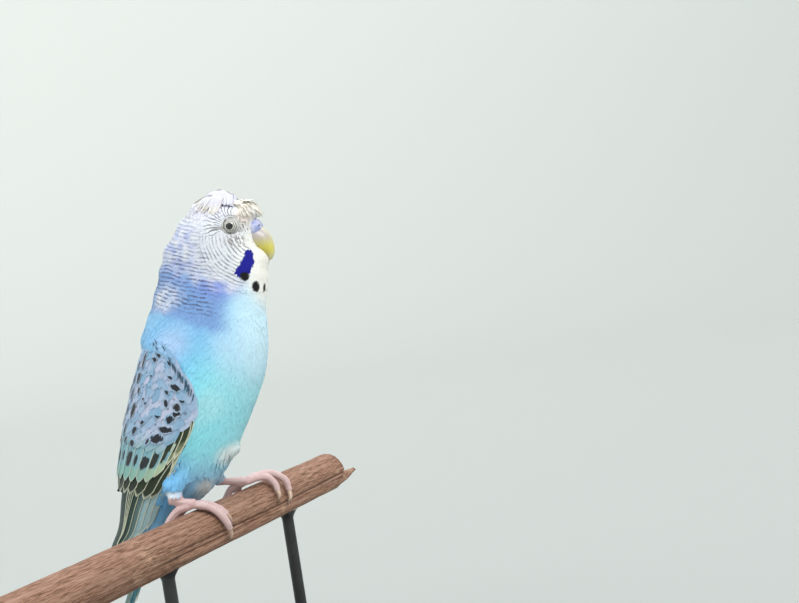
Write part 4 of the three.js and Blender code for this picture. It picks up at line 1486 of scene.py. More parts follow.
for number, (name, (chosen, slot, spacing, width, rise, thickness, scatter)) in enumerate(COATS.items()):
    ground = skin_patch(name + "_ground", chosen)
    piece = grown(name, ground, coat_tree, {
        "Skin": skin, "Vane": vane_pattern, "Spacing": spacing * MM, "Width": width, "Rise": rise,
        "Thickness": thickness, "Scatter": scatter, "Seed": FIRST_SEED + number, "Material": coat_material})
    bpy.data.objects.remove(ground)
    finish_coat(piece)
    triangles = sum(len(polygon.vertices) - 2 for polygon in piece.data.polygons)
    print(name, triangles // VANE_TRIANGLES, "feathers,", triangles, "triangles")
bpy.data.objects.remove(vane_pattern)

# %% [markdown]
# ## Big feathers
#
# The feathers of wings and tail are long, stiff and few, and each has markings of its own. They are
# made one by one, as thin closed blades. A blade is a grid: v runs from root to tip and u across. A
# function says where a place on the blade lies in the world, so the same builder lays feathers on a
# wing, in a tail fan or in a crest. Because their markings run along them, each blade has its own cell
# on the flat map.

# %% A builder of blades
CELL_MARGIN = 0.05
GOLDEN_SHARE = 0.618
NO_MARK = {"mark": 0.0, "mark_at": 0.5, "mark_long": 1.0, "mark_wide": 1.0}


class Blades:
    """Collects closed blades and the numbers of their points, for one mesh."""

    def __init__(self, rows, columns):
        self.rows, self.columns = rows, columns
        self.points, self.faces, self.outward, self.flat = [], [], [], []
        self.numbers, self.colours = {}, {}
        self.count = 0

    def add(self, surface, half_width, numbers, colours, thickness, rounding, point=1.0, cup=0.0, rim_side=0):
        """Adds a blade. surface(v, across, lift) gives its places and half_width(v) its half width, in mm."""
        v = np.linspace(0, 1, self.rows)[:, None] * np.ones(self.columns)
        u = np.linspace(-1, 1, self.columns)[None] * np.ones((self.rows, 1))
        reach = v * (1 - rounding * np.abs(u) ** (1.6 * point) * v**2)
        wide = (half_width(reach) * u).ravel()
        arch = (cup * (1 - u**2)).ravel()
        taper = (thickness * (0.25 + 0.75 * (1 - u**2)) * (1 - 0.6 * v)).ravel()
        top = surface(reach.ravel(), wide, arch)
        under = surface(reach.ravel(), wide, arch - taper)
        out = unit(surface(reach.ravel(), wide, arch + 0.2) - top)
        size = self.rows * self.columns
        first = 2 * size * self.count
        faces = grid_faces(self.rows, self.columns, first)
        faces += [tuple(reversed(face)) for face in grid_faces(self.rows, self.columns, first + size)]
        rim = ([(0, c) for c in range(self.columns)]
               + [(r, self.columns - 1) for r in range(1, self.rows)]
               + [(self.rows - 1, c) for c in range(self.columns - 2, -1, -1)]
               + [(r, 0) for r in range(self.rows - 2, 0, -1)])
        loop = [first + r * self.columns + c for r, c in rim]
        faces += [(loop[k - 1], loop[k - 1] + size, loop[k] + size, loop[k]) for k in range(len(loop))]
        middle = (self.rows // 2) * self.columns + self.columns // 2
        face_up = np.cross(top[middle + 1] - top[middle], top[middle + self.columns] - top[middle])
        if np.dot(face_up, out[middle]) < 0:
            faces = [tuple(reversed(face)) for face in faces]
        side = np.abs(u) if rim_side == 0 else rim_side * u
        values = {"u": u, "v": v, "rim": np.maximum(side, 1.9 * (v - 0.5))}
        for key, value in {**NO_MARK, **numbers, "lot": (GOLDEN_SHARE * self.count) % 1}.items():
            values[key] = np.full(v.shape, float(value))
        for key, value in values.items():
            self.numbers.setdefault(key, []).append(np.tile(value.ravel(), 2))
        for key, value in {"mark_colour": INK, **colours}.items():
            self.colours.setdefault(key, []).append(np.tile(value, (2 * size, 1)))
        self.flat.append(np.tile(np.column_stack([(u.ravel() + 1) / 2, v.ravel()]), (2, 1)))
        self.points.append(np.vstack([top, under]))
        self.outward.append(np.vstack([out, -out]))
        self.faces += faces
        self.count += 1

    def build(self, name, material, slot, replaces=(), soft=0.5, away_from=None):
        """One mesh of all the blades, each with its own cell on the flat map."""
        numbers = {key: np.concatenate(values) for key, values in self.numbers.items()}
        colours = {key: np.vstack(values) for key, values in self.colours.items()}
        points = np.vstack(self.points)
        piece = mesh_object(name, points, self.faces, numbers, colours)
        mesh = piece.data
        lean = np.vstack(self.outward)
        if away_from is not None:
            sense = np.sign((lean * (points - away_from)).sum(1))
            lean = unit(points - away_from) * np.where(sense == 0, 1, sense)[:, None]
        normals = unit(between(read_normals(mesh), lean, soft))
        mesh.normals_split_custom_set_from_vertices(normals.tolist())
        side = math.ceil(math.sqrt(self.count))
        inner = 1 - 2 * CELL_MARGIN
        cells = [(flat * inner + CELL_MARGIN + [k % side, k // side]) / side
                 for k, flat in enumerate(self.flat)]
        write_map(mesh, np.vstack(cells))
        finished(piece, material, slot, *replaces)
        print(name, self.count, "feathers,", sum(len(face) - 2 for face in self.faces), "triangles")


def vane_width(half, root, widest, tip):
    """A feather's half width along it: slim at the root, widest past its middle, full near its tip."""
    def width(v):
        return half * between(root, 1, smoothstep(0, widest, v)) * between(1, tip, smoothstep(0.75, 1.0, v))
    return width


# %% [markdown]
# ## The material of big feathers
#
# Every big feather has a ground colour, a tip colour and a rim that may be pale, and some have a dark
# mark in the middle. The material reads these from the blade, so one recipe serves coverts,
# secondaries, primaries, tail and crest. The barbs are drawn at full sharpness from u and v, and noise
# frays the edge of every mark.

# %% Material for blades
MARK_SQUARENESS = 2.4


def blade_material(name, barb_count, rough, turn_from, turn_to, soft_mark):
    """The recipe for blades. The ground turns into the tip's colour between two places along the feather."""
    material, n, shader = new_material(name, Roughness=rough, Specular_IOR_Level=0.3, Sheen_Weight=0.12)
    wobbly = n.times_plus(n.noise(n.place(), 700.0, 3.0), 0.3, -0.15)
    lines, shaft, silk = barbs(n, barb_count, 0.8)
    v = n.plus(n.attribute("v"), wobbly)
    turned = n.range(v, turn_from, turn_to)
    colour = n.mix(turned, n.attribute("ground", "Color"), n.attribute("tip", "Color"))
    along = n.math("SUBTRACT", n.attribute("v"), n.attribute("mark_at"))
    along = n.math("DIVIDE", along, n.attribute("mark_long"))
    around = n.math("DIVIDE", n.attribute("u"), n.attribute("mark_wide"))
    squares = [n.math("POWER", n.math("ABSOLUTE", part), MARK_SQUARENESS) for part in (along, around)]
    away = n.math("SQRT", n.plus(*squares))
    ragged = n.plus(n.times_plus(silk, 2.0, away), n.times(wobbly, 2.6))
    mark = n.times(n.range(ragged, 2.0 + soft_mark, 2.0 - soft_mark), n.attribute("mark"))
    rim = n.range(n.times_plus(wobbly, 0.3, n.attribute("rim")), n.attribute("rim_from"), 0.97)
    colour = n.mix(rim, colour, n.attribute("edge", "Color"))
    colour = n.mix(mark, colour, n.attribute("mark_colour", "Color"))
    colour = n.toned(colour, n.plus(n.times_plus(silk, 0.3, 0.8), n.times(lines, 0.2)))
    colour = n.mix(n.times(shaft, n.attribute("shaft")), colour, INK)
    n.surface(shader, colour, n.times_plus(shaft, 1.5, lines), 0.3, 0.00012)
    return material


covert_material = blade_material("wing coverts", 16.0, 0.68, 0.55, 0.9, 0.22)
greater_material = blade_material("greater coverts", 40.0, 0.62, 0.62, 0.78, 0.14)
flight_material = blade_material("flight feathers", 60.0, 0.5, 0.55, 0.95, 0.2)
tail_material = blade_material("tail feathers", 90.0, 0.5, 0.55, 0.95, 0.2)
crest_material = blade_material("crest feathers", 14.0, 0.72, 0.6, 1.0, 0.2)
print("blade materials ready")

# %% [markdown]
# ## Covert feathers
#
# Short coverts tile the wing from the shoulder down, in rows across it, and each row lies on the next.
# On this bird they are pale lavender-blue, and only some carry a bold black spot: long ones in a chain
# down the back edge, wide ones in a slanting row in front. So plain rows come first, and the spotted
# feathers are planted on them one by one. Each is given by where its spot lies on the wing, and how
# long and how wide the spot is.

# %% Plant the coverts
COVERT_BLUE = linear((134, 174, 204))
COVERT_LILAC = linear((196, 200, 222))
COVERT_MINT = linear((128, 178, 168))
COVERT_CREAM = linear((238, 238, 222))
OLIVE = linear((50, 62, 42))
OLIVE_DEEP = linear((22, 30, 27))
YELLOW_GREEN = linear((204, 212, 160))
BROWN_BLACK = linear((34, 26, 28))
HATCH_BLUE = linear((58, 84, 104))
FLIGHT_EDGE = COVERT_CREAM * 0.7 + YELLOW_GREEN * 0.3

BOLD_SPOTS = [
    # level, share, long and wide in mm
    (7.75, 0.225, 8.0, 1.4), (7.1, 0.20, 4.2, 2.6), (6.7, 0.27, 2.6, 1.6), (6.5, 0.15, 5.5, 1.9),
    (6.05, 0.245, 6.4, 2.6), (6.0, 0.10, 5.0, 1.4), (5.4, 0.18, 5.4, 1.8), (5.5, 0.36, 3.0, 2.4),
    (5.1, 0.25, 2.8, 1.6), (5.1, 0.40, 2.3, 2.7), (5.45, 0.65, 3.1, 5.4), (5.77, 0.69, 2.2, 5.6),
    (6.1, 0.70, 2.5, 3.3), (6.3, 0.745, 2.1, 3.4), (6.5, 0.75, 2.9, 3.1), (6.55, 0.655, 2.7, 1.8),
    (6.9, 0.65, 1.7, 1.7), (7.1, 0.74, 2.4, 4.2), (7.4, 0.71, 1.3, 2.2), (7.9, 0.75, 1.7, 1.4),
    (7.9, 0.49, 1.9, 2.4), (8.1, 0.585, 1.7, 2.2), (6.5, 0.37, 1.0, 1.1), (6.4, 0.41, 1.1, 1.3),
    (5.8, 0.43, 1.6, 1.7), (6.1, 0.58, 0.9, 2.6), (5.3, 0.57, 2.4, 1.3), (6.7, 0.80, 0.9, 2.2),
    (7.3, 0.43, 0.8, 1.3), (7.0, 0.08, 4.0, 1.6), (6.6, 0.02, 4.0, 1.6), (5.6, 0.04, 4.2, 1.6),
    (5.0, 0.10, 3.0, 1.6), (7.5, 0.10, 4.0, 1.4),
]
GREATER = [
    # share, level of the tip, the dark mark's level, length and width in mm, and how green the feather is
    (0.03, 3.70, 4.5, 5.0, 2.4, 0.0), (0.13, 3.72, 4.5, 5.0, 2.6, 0.0), (0.25, 3.78, 4.6, 3.4, 2.0, 0.0),
    (0.375, 3.82, 4.58, 6.6, 3.2, 0.0), (0.485, 3.87, 4.62, 4.4, 1.7, 0.1), (0.60, 3.93, 4.62, 5.6, 4.3, 0.1),
    (0.70, 4.02, 4.78, 6.4, 3.2, 0.35), (0.775, 4.25, 5.05, 7.0, 2.6, 0.6),
]
STRIPES = [
    # root level and share, tip level and share, half width
    ((5.9, 0.79), (4.52, 0.82), 1.6), ((6.1, 0.82), (4.72, 0.87), 1.5), ((6.5, 0.855), (4.95, 0.915), 1.6),
    ((6.7, 0.89), (4.6, 0.93), 1.0), ((6.85, 0.90), (4.3, 0.94), 0.7),
]


COVERT_ROWS = 11
COVERT_THICKNESS = 0.12
SHOULDER_LEVEL = 9.0
HATCHES = 22
STREAKS = [((8.75, 0.73), (8.5, 0.69)), ((8.55, 0.9), (8.35, 0.86)), ((8.6, 0.55), (8.4, 0.51)),
           ((8.45, 0.62), (8.3, 0.6))]


def plain_covert(blades, side, rng, share, f):
    """One plain feather. Share is its row's place, from 0 at the lowest, and f its place across the wing."""
    sag = 1.15 * float(smoothstep(0.70, 0.92, f)) * (1 - share)
    tip_t = 5.02 + 3.1 * share + sag + rng.uniform(-0.09, 0.09)
    if f > (0.885 if tip_t > 6.6 else 0.93):
        return
    ground = between(COVERT_BLUE, COVERT_LILAC, rng.uniform(0.0, 0.9)) * rng.uniform(0.94, 1.04)
    ground = between(ground, SKY, float(smoothstep(7.4, 8.4, tip_t)) * 0.7)
    tip = between(ground, COVERT_MINT, float(1 - smoothstep(5.0, 5.5, tip_t)) * 0.5)
    faint = 0.5 * (rng.uniform() < 0.35)
    root_t = min(tip_t + (9.5 - 3.0 * share) / LEVEL_SPACING, SHOULDER_LEVEL)
    root = (root_t, f + rng.uniform(-0.015, 0.015))
    blades.add(
        wing_feather(side, root, (tip_t, f), -0.15, 0.38, 0.03),
        vane_width((2.4 - 0.7 * share) * rng.uniform(0.9, 1.1), 0.5, 0.45, 0.85),
        {"mark": faint, "mark_at": 0.72, "mark_long": 0.05, "mark_wide": rng.uniform(0.15, 0.45),
         "rim_from": 0.82, "shaft": 0.12},
        {"ground": ground, "tip": tip, "edge": tip * 1.06, "mark_colour": HATCH_BLUE}, COVERT_THICKNESS, 0.24)


def spotted_covert(blades, side, rng, t, f, long, wide):
    """One feather that carries a bold spot at level t and share f."""
    half = max(1.0, 0.5 * wide + 0.2)
    length = max(4.5, 1.5 * long)
    tip_t = t - (0.5 * long + 0.45) / LEVEL_SPACING
    root_t = tip_t + length / LEVEL_SPACING
    ground = between(COVERT_BLUE, COVERT_LILAC, rng.uniform(0.0, 0.6))
    edge = between(ground, COVERT_CREAM, 0.5 if f < 0.3 else 0.1)
    ink = between(INK, BROWN_BLACK, rng.uniform(0, 1))
    root = (min(root_t, SHOULDER_LEVEL), f + rng.uniform(-0.03, 0.03))
    blades.add(
        wing_feather(side, root, (tip_t, f), 0.3, 0.6, 0.02), vane_width(half, 0.5, 0.45, 0.85),
        {"mark": 0.97, "mark_at": (root_t - t) / (root_t - tip_t), "mark_long": 0.5 * long / length,
         "mark_wide": 0.5 * wide / half, "rim_from": 0.9, "shaft": 0.1},
        {"ground": ground, "tip": ground, "edge": edge, "mark_colour": ink}, COVERT_THICKNESS, 0.22)


def hatch(blades, surface, half, tip_colour):
    """One thin dark line on the wing's upper front."""
    blades.add(surface, vane_width(half, 0.6, 0.4, 0.4), {"rim_from": 1.5, "shaft": 0.0},
               {"ground": HATCH_BLUE, "tip": tip_colour, "edge": HATCH_BLUE}, 0.08, 0.2)


def plant_coverts(side, rng):
    blades = Blades(8, 7)
    for row in range(COVERT_ROWS):
        share = row / (COVERT_ROWS - 1)
        count = 17 - round(4 * share)
        for k in range(count):
            f = (k + 0.5 + 0.5 * (row % 2 - 0.5) + rng.uniform(-0.2, 0.2)) / count
            plain_covert(blades, side, rng, share, f)
    for spot in BOLD_SPOTS:
        spotted_covert(blades, side, rng, *spot)
    for k in range(HATCHES):
        t = 7.85 - 1.05 * k / HATCHES + rng.uniform(-0.12, 0.12)
        f = 0.78 + 0.12 * k / HATCHES + rng.uniform(-0.02, 0.015)
        hatch(blades, wing_feather(side, (t + 0.26, f + 0.035), (t, f), 0.5, 0.72), 0.22, HATCH_BLUE * 0.8)
    for root, tip in STREAKS:
        hatch(blades, wing_feather(side, root, tip, 0.9, 1.05), 0.35, INK)
    return blades


GREATER_LEVELS = 1.6
GREATER_HALF = 2.7


def plant_greater(side, rng):
    blades = Blades(12, 9)
    for root, tip, half in reversed(STRIPES):
        ground = OLIVE * rng.uniform(0.8, 1.1)
        blades.add(
            wing_feather(side, root, tip, 0.0, 0.25, 0.05), vane_width(half, 0.6, 0.35, 0.6),
            {"rim_from": 0.62, "shaft": 0.2},
            {"ground": ground, "tip": OLIVE * 0.7 + YELLOW_GREEN * 0.3, "edge": FLIGHT_EDGE},
            0.16, 0.16, rim_side=1)
    for f, tip_t, mark_t, long, wide, green in reversed(GREATER):
        root_t = tip_t + GREATER_LEVELS
        tip = between(COVERT_MINT, YELLOW_GREEN, green)
        dark = BROWN_BLACK * (1 - green) + OLIVE * green
        blades.add(
            wing_feather(side, (root_t, f + 0.03), (tip_t, f), -0.15, 0.42, 0.06),
            vane_width(GREATER_HALF, 0.6, 0.4, 0.85),
            {"mark": 0.96, "mark_at": (root_t - mark_t) / GREATER_LEVELS,
             "mark_long": 0.5 * long / (GREATER_LEVELS * LEVEL_SPACING),
             "mark_wide": 0.5 * wide / GREATER_HALF, "rim_from": 0.8, "shaft": 0.2},
            {"ground": between(COVERT_BLUE, COVERT_MINT, 0.5), "tip": tip,
             "edge": between(tip, COVERT_CREAM, 0.6), "mark_colour": dark}, 0.15, 0.2)
    return blades


for label, side, seed in (("right", -1, 5), ("left", 1, 6)):
    rng = np.random.default_rng(seed)
    plant_greater(side, rng).build(f"greater_coverts_{label}", greater_material, "feather_wing")
    plant_coverts(side, rng).build(f"coverts_{label}", covert_material, "feather_wing", soft=0.85)

# %% [markdown]
# ## Flight feathers
#
# Under the coverts lie the secondaries, with round tips, and under those the long primaries that make the
# wing's point. Only a strip of each shows, with its pale outer edge, and those edges draw the fine
# stripes of a folded wing. The inner feathers lie on top, so each one's outer edge shows.

# %% Plant the flight feathers
PALE_TEAL = linear((168, 200, 206))
TEAL_DARK = linear((44, 78, 70))
SECONDARIES = [
    # tip level and share, root share
    (3.28, 0.10, 0.30), (3.30, 0.22, 0.42), (3.34, 0.34, 0.55), (3.38, 0.46, 0.68), (3.38, 0.58, 0.80),
    (3.36, 0.70, 0.90), (3.45, 0.80, 0.92), (3.78, 0.86, 0.91), (4.15, 0.90, 0.915),
]


PRIMARIES = 9


def plant_flight(side, rng):
    blades = Blades(22, 9)
    for k in reversed(range(PRIMARIES)):
        share = k / (PRIMARIES - 1)
        tip_t = 0.06 + 2.15 * share**1.35
        slope = 0.17 * (1 - share) + 0.035 * share
        at_bend = 0.14 + 0.74 * share
        tip_f = max(0.1, at_bend - slope * (3.2 - tip_t))
        root_f = min(0.915, at_bend + slope * 1.8)
        ground = between(OLIVE_DEEP, TEAL_DARK, rng.uniform(0.2, 1.0))
        ground = between(ground, PALE_TEAL, float(smoothstep(0.55, 0.8, share)) * 0.9)
        edge = between(COVERT_CREAM, YELLOW_GREEN, rng.uniform(0.0, 0.5))
        lift = -0.42 - 0.45 * share
        blades.add(
            wing_feather(side, (5.0, root_f), (tip_t, tip_f), lift, lift - 0.3, 0.09),
            vane_width(2.6 - 0.3 * share, 0.9, 0.3, 0.42), {"rim_from": 0.78, "shaft": 0.35},
            {"ground": ground, "tip": ground * 0.85, "edge": edge}, 0.3, 0.1, point=0.8, rim_side=1)
    for k, (tip_t, tip_f, root_f) in reversed(list(enumerate(SECONDARIES))):
        share = k / (len(SECONDARIES) - 1)
        ground = OLIVE + (OLIVE_DEEP - OLIVE) * rng.uniform(0.0, 0.8) * (1 - share)
        lift = -0.28 - 0.3 * share
        blades.add(
            wing_feather(side, (tip_t + 2.2, root_f), (tip_t, tip_f), lift, lift + 0.25, 0.07),
            vane_width(2.7, 0.8, 0.3, 0.85), {"rim_from": 0.8, "shaft": 0.3},
            {"ground": ground, "tip": ground * 0.9, "edge": FLIGHT_EDGE}, 0.2, 0.16, rim_side=1)
    return blades


for label, side, seed in (("right", -1, 15), ("left", 1, 16)):
    blades = plant_flight(side, np.random.default_rng(seed))
    blades.build(f"flight_{label}", flight_material, "feather_flight", [f"primaries_{label}"], soft=0.3)

# %% [markdown]
# ## The tail
#
# A budgerigar's tail has twelve feathers. The middle pair is by far the longest, and each pair
# outwards is shorter, which gives the long pointed tail its steps. They lie on each other like
# a half-closed fan, with the middle pair on top, on the bird's back side.

# %% The tail's feathers
TAIL_ROOT = np.array([-30.5, 0.0, -6.0])
TAIL_TIP = np.array([-60.5, 0.0, -68.0])
TAIL_LENGTH = float(np.linalg.norm(TAIL_TIP - TAIL_ROOT))
TAIL_ALONG = unit(TAIL_TIP - TAIL_ROOT)
TAIL_BACK = np.array([TAIL_ALONG[2], 0.0, -TAIL_ALONG[0]])
TAIL_PAIRS = [1.0, 0.92, 0.76, 0.64, 0.54, 0.45]
TAIL_TURQUOISE = linear((84, 196, 204))
TAIL_BLUE = linear((84, 140, 176))
TAIL_CREAM = linear((230, 230, 200))


def tail_feather(side, pair, length):
    spread_root = 0.7 + 0.95 * pair
    spread_tip = 0.9 + 1.35 * pair
    stack = 0.9 - 0.42 * pair

    def surface(v, across, lift):
        y = side * between(spread_root, spread_tip, v) + side * across
        place = TAIL_ROOT + TAIL_ALONG * (length * TAIL_LENGTH * v)[:, None]
        roof = stack - 0.045 * np.abs(y) ** 1.5 * (1 - 0.5 * v) + lift + 0.4 * np.sin(math.pi * v)
        place = place + TAIL_BACK * roof[:, None]
        place[:, 1] += y
        return place
    return surface


blades = Blades(26, 9)
for pair in reversed(range(len(TAIL_PAIRS))):
    for side in (-1, 1):
        ground = TAIL_TURQUOISE if pair < 2 else TAIL_BLUE * 0.5 + TAIL_TURQUOISE * 0.5
        edge = TAIL_CREAM if pair else TAIL_BLUE * 0.7
        blades.add(
            tail_feather(side, pair, TAIL_PAIRS[pair]), vane_width(2.7 - 0.12 * pair, 0.75, 0.3, 0.45),
            {"rim_from": 0.74 if pair else 0.9, "shaft": 0.8},
            {"ground": ground, "tip": ground * 0.9, "edge": edge},
            0.35, 0.1, point=0.8, rim_side=1 if pair else 0)
blades.build("tail_feathers", tail_material, "feather_tail", ["tail"], soft=0.2)

# %% [markdown]
# ## The crest
#
# This bird carries a crest, a rosette of longer feathers that part from one point of the crown. Some fall
# over the forehead as a ragged fringe, some sweep back to the nape, and a tuft stands up and back
# between them. Each is a narrow blade along an arc, with its root at the crown.

# %% The crest's feathers
CREST_LILAC = linear((212, 211, 222))
CREST_CREAM = linear((246, 240, 226))
CREST_PEACH = linear((240, 222, 202))
HEAD_MIDDLE = np.array([21.0, 0.0, 113.0])
PLUME_STEPS = 14
EASING = [0.1, 0.2, 0.4, 0.2, 0.1]
CROWN = 120.6
LAYERS = 6
ground_tree = tree_of(skin)


def plume(heading, start, reach, base, rise, droop, clear, twist):
    """The surface of a crest feather that leaves the crown in a heading and arcs over, clear of the skin."""
    ahead = np.array([math.cos(heading), math.sin(heading), 0.0])
    steps = np.linspace(0, 1, PLUME_STEPS)
    line = CREST_ROOT + ahead * start + ahead * (reach * steps)[:, None]
    line[:, 2] = base + rise * np.sin(math.pi * np.minimum(1.0, steps * 1.15)) - droop * steps**2
    out = np.empty_like(line)
    for k, place in enumerate(line):
        near, up, _, _ = ground_tree.find_nearest(Vector(place))
        near, up = np.array(near), np.array(up)
        want = between(*clear, steps[k])
        gap = float(np.dot(place - near, up))
        if gap < want:
            line[k] = place + up * (want - gap)
        out[k] = up
    eased = [np.convolve(np.pad(axis, 2, mode="edge"), EASING, "valid") for axis in (*line.T, *out.T)]
    line, out = np.column_stack(eased[:3]), unit(np.column_stack(eased[3:]))
    across_way = unit(np.cross(out, np.gradient(line, axis=0)))

    def surface(v, across, lift):
        place, over, away = (np.column_stack([np.interp(v, steps, axis) for axis in values.T])
                             for values in (line, across_way, out))
        height = lift + twist * across - 0.12 * across**2
        return place + over * across[:, None] + unit(away) * height[:, None]
    return surface


def plant_crest(rng):
    blades = Blades(10, 5)

    def lock(heading, start, reach, base, rise, droop, clear, half, ground, tip):
        blades.add(
            plume(heading, start, reach, base, rise, droop, clear, rng.uniform(-0.3, 0.3)),
            vane_width(half, 0.5, 0.5, 0.5), {"rim_from": 0.6, "shaft": 0.06},
            {"ground": ground, "tip": tip, "edge": tip * 0.78}, 0.12, 0.35, cup=0.12)

    def spaced(k, count):
        """From -1 to 1 across a row of locks, a little off its even place."""
        return 2 * (k + rng.uniform(-0.4, 0.4)) / (count - 1) - 1

    # the fringe, from the crown down over the forehead to the cere
    for layer in range(LAYERS):
        for k in range(23):
            heading = 1.9 * spaced(k, 23)
            side_on = abs(heading) / 1.9
            reach = (12.2 - 4.6 * side_on) * (1 - 0.08 * layer) * rng.uniform(0.92, 1.06)
            tip = between(CREST_CREAM, CREST_PEACH, rng.uniform(0.0, 0.8) * side_on)
            start, droop = rng.uniform(-1.2, 0.6), 6.8 - 0.7 * layer + rng.uniform(-0.6, 0.6)
            lock(heading, start, reach, CROWN, 0.9 + 0.25 * layer, droop, (0.4, 0.55 + 0.18 * layer), 1.15,
                 CREST_CREAM, tip)
    # the nape, from the top of the crown down the back of the head
    for layer in range(LAYERS):
        for k in range(21):
            off = 0.95 * spaced(k, 21)
            reach = (13.2 - 6.5 * abs(off)) * (1 - 0.11 * layer) * rng.uniform(0.86, 1.08)
            tip = between(CREST_CREAM, CREST_PEACH, rng.uniform(0.0, 0.7) * (1 - 0.8 * abs(off)))
            droop = 6.2 - 0.5 * layer + 3.0 * off**2 + rng.uniform(-0.5, 0.5)
            lock(math.pi + off, 8.0 - 2.5 * abs(off), reach, 125.4 - 1.5 * off**2, 0.8, droop,
                 (0.2, 0.3 + 0.09 * layer), 0.75, CREST_LILAC, tip)
    # the crown's own tuft, swept up and back
    for layer in range(LAYERS):
        under = LAYERS - 1 - layer
        for k in range(19):
            off = 1.5 * spaced(k, 19)
            fall = abs(off) / 1.5
            reach = (11.6 - 3.4 * fall) * (1 - 0.1 * under) * rng.uniform(0.92, 1.05)
            lock(math.pi + off, rng.uniform(-0.4, 0.6), reach, CROWN, 6.4 - 2.0 * fall - 0.5 * under,
                 -5.0 + 7.0 * fall + 0.5 * under, (0.35, 0.4 + 0.16 * layer), 1.1,
                 CREST_LILAC, CREST_LILAC * 1.03)
    # a few short ones stand up in front
    for k in range(10):
        heading = rng.uniform(-0.7, 0.7)
        lock(heading, 4.2, 4.2 * rng.uniform(0.8, 1.1), CROWN, 1.0, -0.4, (0.4, 1.2), 0.7,
             CREST_CREAM, CREST_CREAM)
    return blades


crest = plant_crest(np.random.default_rng(31))
crest.build("crest_feathers", crest_material, "feather_crest", ["crest"], soft=0.8, away_from=HEAD_MIDDLE)

# %% [markdown]
# ## Bill and cere
#
# The upper bill is a smooth hook of horn with a ridge along its top, and the lower one is a small scoop
# behind it. Over the root of the bill sits the cere, a waxy swelling with the two nostrils. On a male
# it is blue-violet. The bill is a row of rings along a curve. The cere starts as a globe and is pushed
# into two low mounds.

# %% Shape the bill
BILL_SIDES = 40


def bill(places, deep, half, ridge, count):
    """A hooked cone along a path in the bird's middle plane, its front drawn out into a ridge."""
    t = np.linspace(0, len(places) - 1, count)
    centres = through(places, t)
    ahead = unit(np.gradient(centres, axis=0))
    front = np.column_stack([-ahead[:, 1], ahead[:, 0]])
    d = through(deep, t)
    h = through(half, t)
    turn = full_turn(BILL_SIDES)
    reach = np.cos(turn) * (1 + ridge * np.exp(-(((turn + math.pi) % (2 * math.pi)) - math.pi) ** 2 / 0.12))
    width = np.sin(turn) * (1 - 0.10 * np.cos(turn))
    x, z = (centres[:, None, k] + front[:, None, k] * d[:, None] * reach for k in (0, 1))
    points, faces = tube(np.stack([x, h[:, None] * width, z], axis=-1))
    return points, outward(points, faces)


UPPER_BILL = [(29.4, 107.9), (31.2, 107.2), (34.6, 104.6), (36.7, 101), (37.2, 97.9), (36.6, 95.9)]
LOWER_BILL = [(28.5, 104.0), (29.8, 103), (32.4, 100.2), (34.6, 98), (35.4, 96.9)]


def horn_material(name, root, middle, tip, low, high):
    """Horn whose colour runs from the root to the tip, by height."""
    material, n, shader = new_material(name, Specular_IOR_Level=0.5, Coat_Weight=0.25, Coat_Roughness=0.2)
    place = n.add("ShaderNodeSeparateXYZ", {0: n.place()}).outputs
    broad, fine = mottle(n, 1.6)
    height = n.times_plus(n.math("SUBTRACT", broad, 0.5), 0.0016, place["Z"])
    colour = n.mix(n.range(height, low + (high - low) * 0.4, high), middle, root)
    colour = n.mix(n.range(height, low + (high - low) * 0.35, low), colour, tip)
    ridge = n.range(n.math("ABSOLUTE", place["Y"]), 2.6 * MM, 0.6 * MM, 0.0, 0.55)
    colour = n.mix(ridge, colour, tip)
    streaks = n.stretched_noise((900, 900, 160), 3.0)
    colour = n.toned(colour, n.times_plus(streaks, 0.24, 0.88))
    n.join(n.times_plus(fine, 0.2, 0.26), shader.inputs["Roughness"])
    n.surface(shader, colour, fine, 0.12, 0.00012)
    return material


def level(z):
    """A height in bird millimetres as metres in the frame."""
    return float(metres([(0, 0, z)])[0][2])


BEAK_ROOT = linear((186, 176, 172))
BEAK_YELLOW = linear((222, 210, 92))
BEAK_TIP = linear((218, 212, 158))
bill_material = horn_material("bill horn", BEAK_ROOT, BEAK_YELLOW, BEAK_TIP, level(96), level(107))
BILLS = {
    # piece: node, path, depth and half width along it, ridge, rings
    "bill_upper": ("beak_upper", UPPER_BILL, [3.0, 4.4, 3.9, 2.6, 1.35, 0.3], [4.0, 4.4, 4.2, 3.1, 1.6, 0.3],
                   0.03, 44),
    "bill_lower": ("beak_lower", LOWER_BILL, [2.2, 2.4, 2.4, 1.9, 0.7], [3.4, 3.7, 3.4, 2.6, 1.1], 0.0, 30),
}
for name, (node, *shape) in BILLS.items():
    piece = mesh_object(name, *bill(*shape))
    finished(piece, bill_material, "beak", node)
    print(name, len(piece.data.polygons), "faces")

# %% Shape the cere
CERE_CENTRE = np.array([32.0, 0.0, 109.5])
CERE_RADII = np.array([3.2, 4.7, 4.2])
CERE_TURN = 0.35
NOSTRIL = np.array([0.72, 0.56, 0.42])
CERE_SIDES = 72
CERE_RINGS = 44


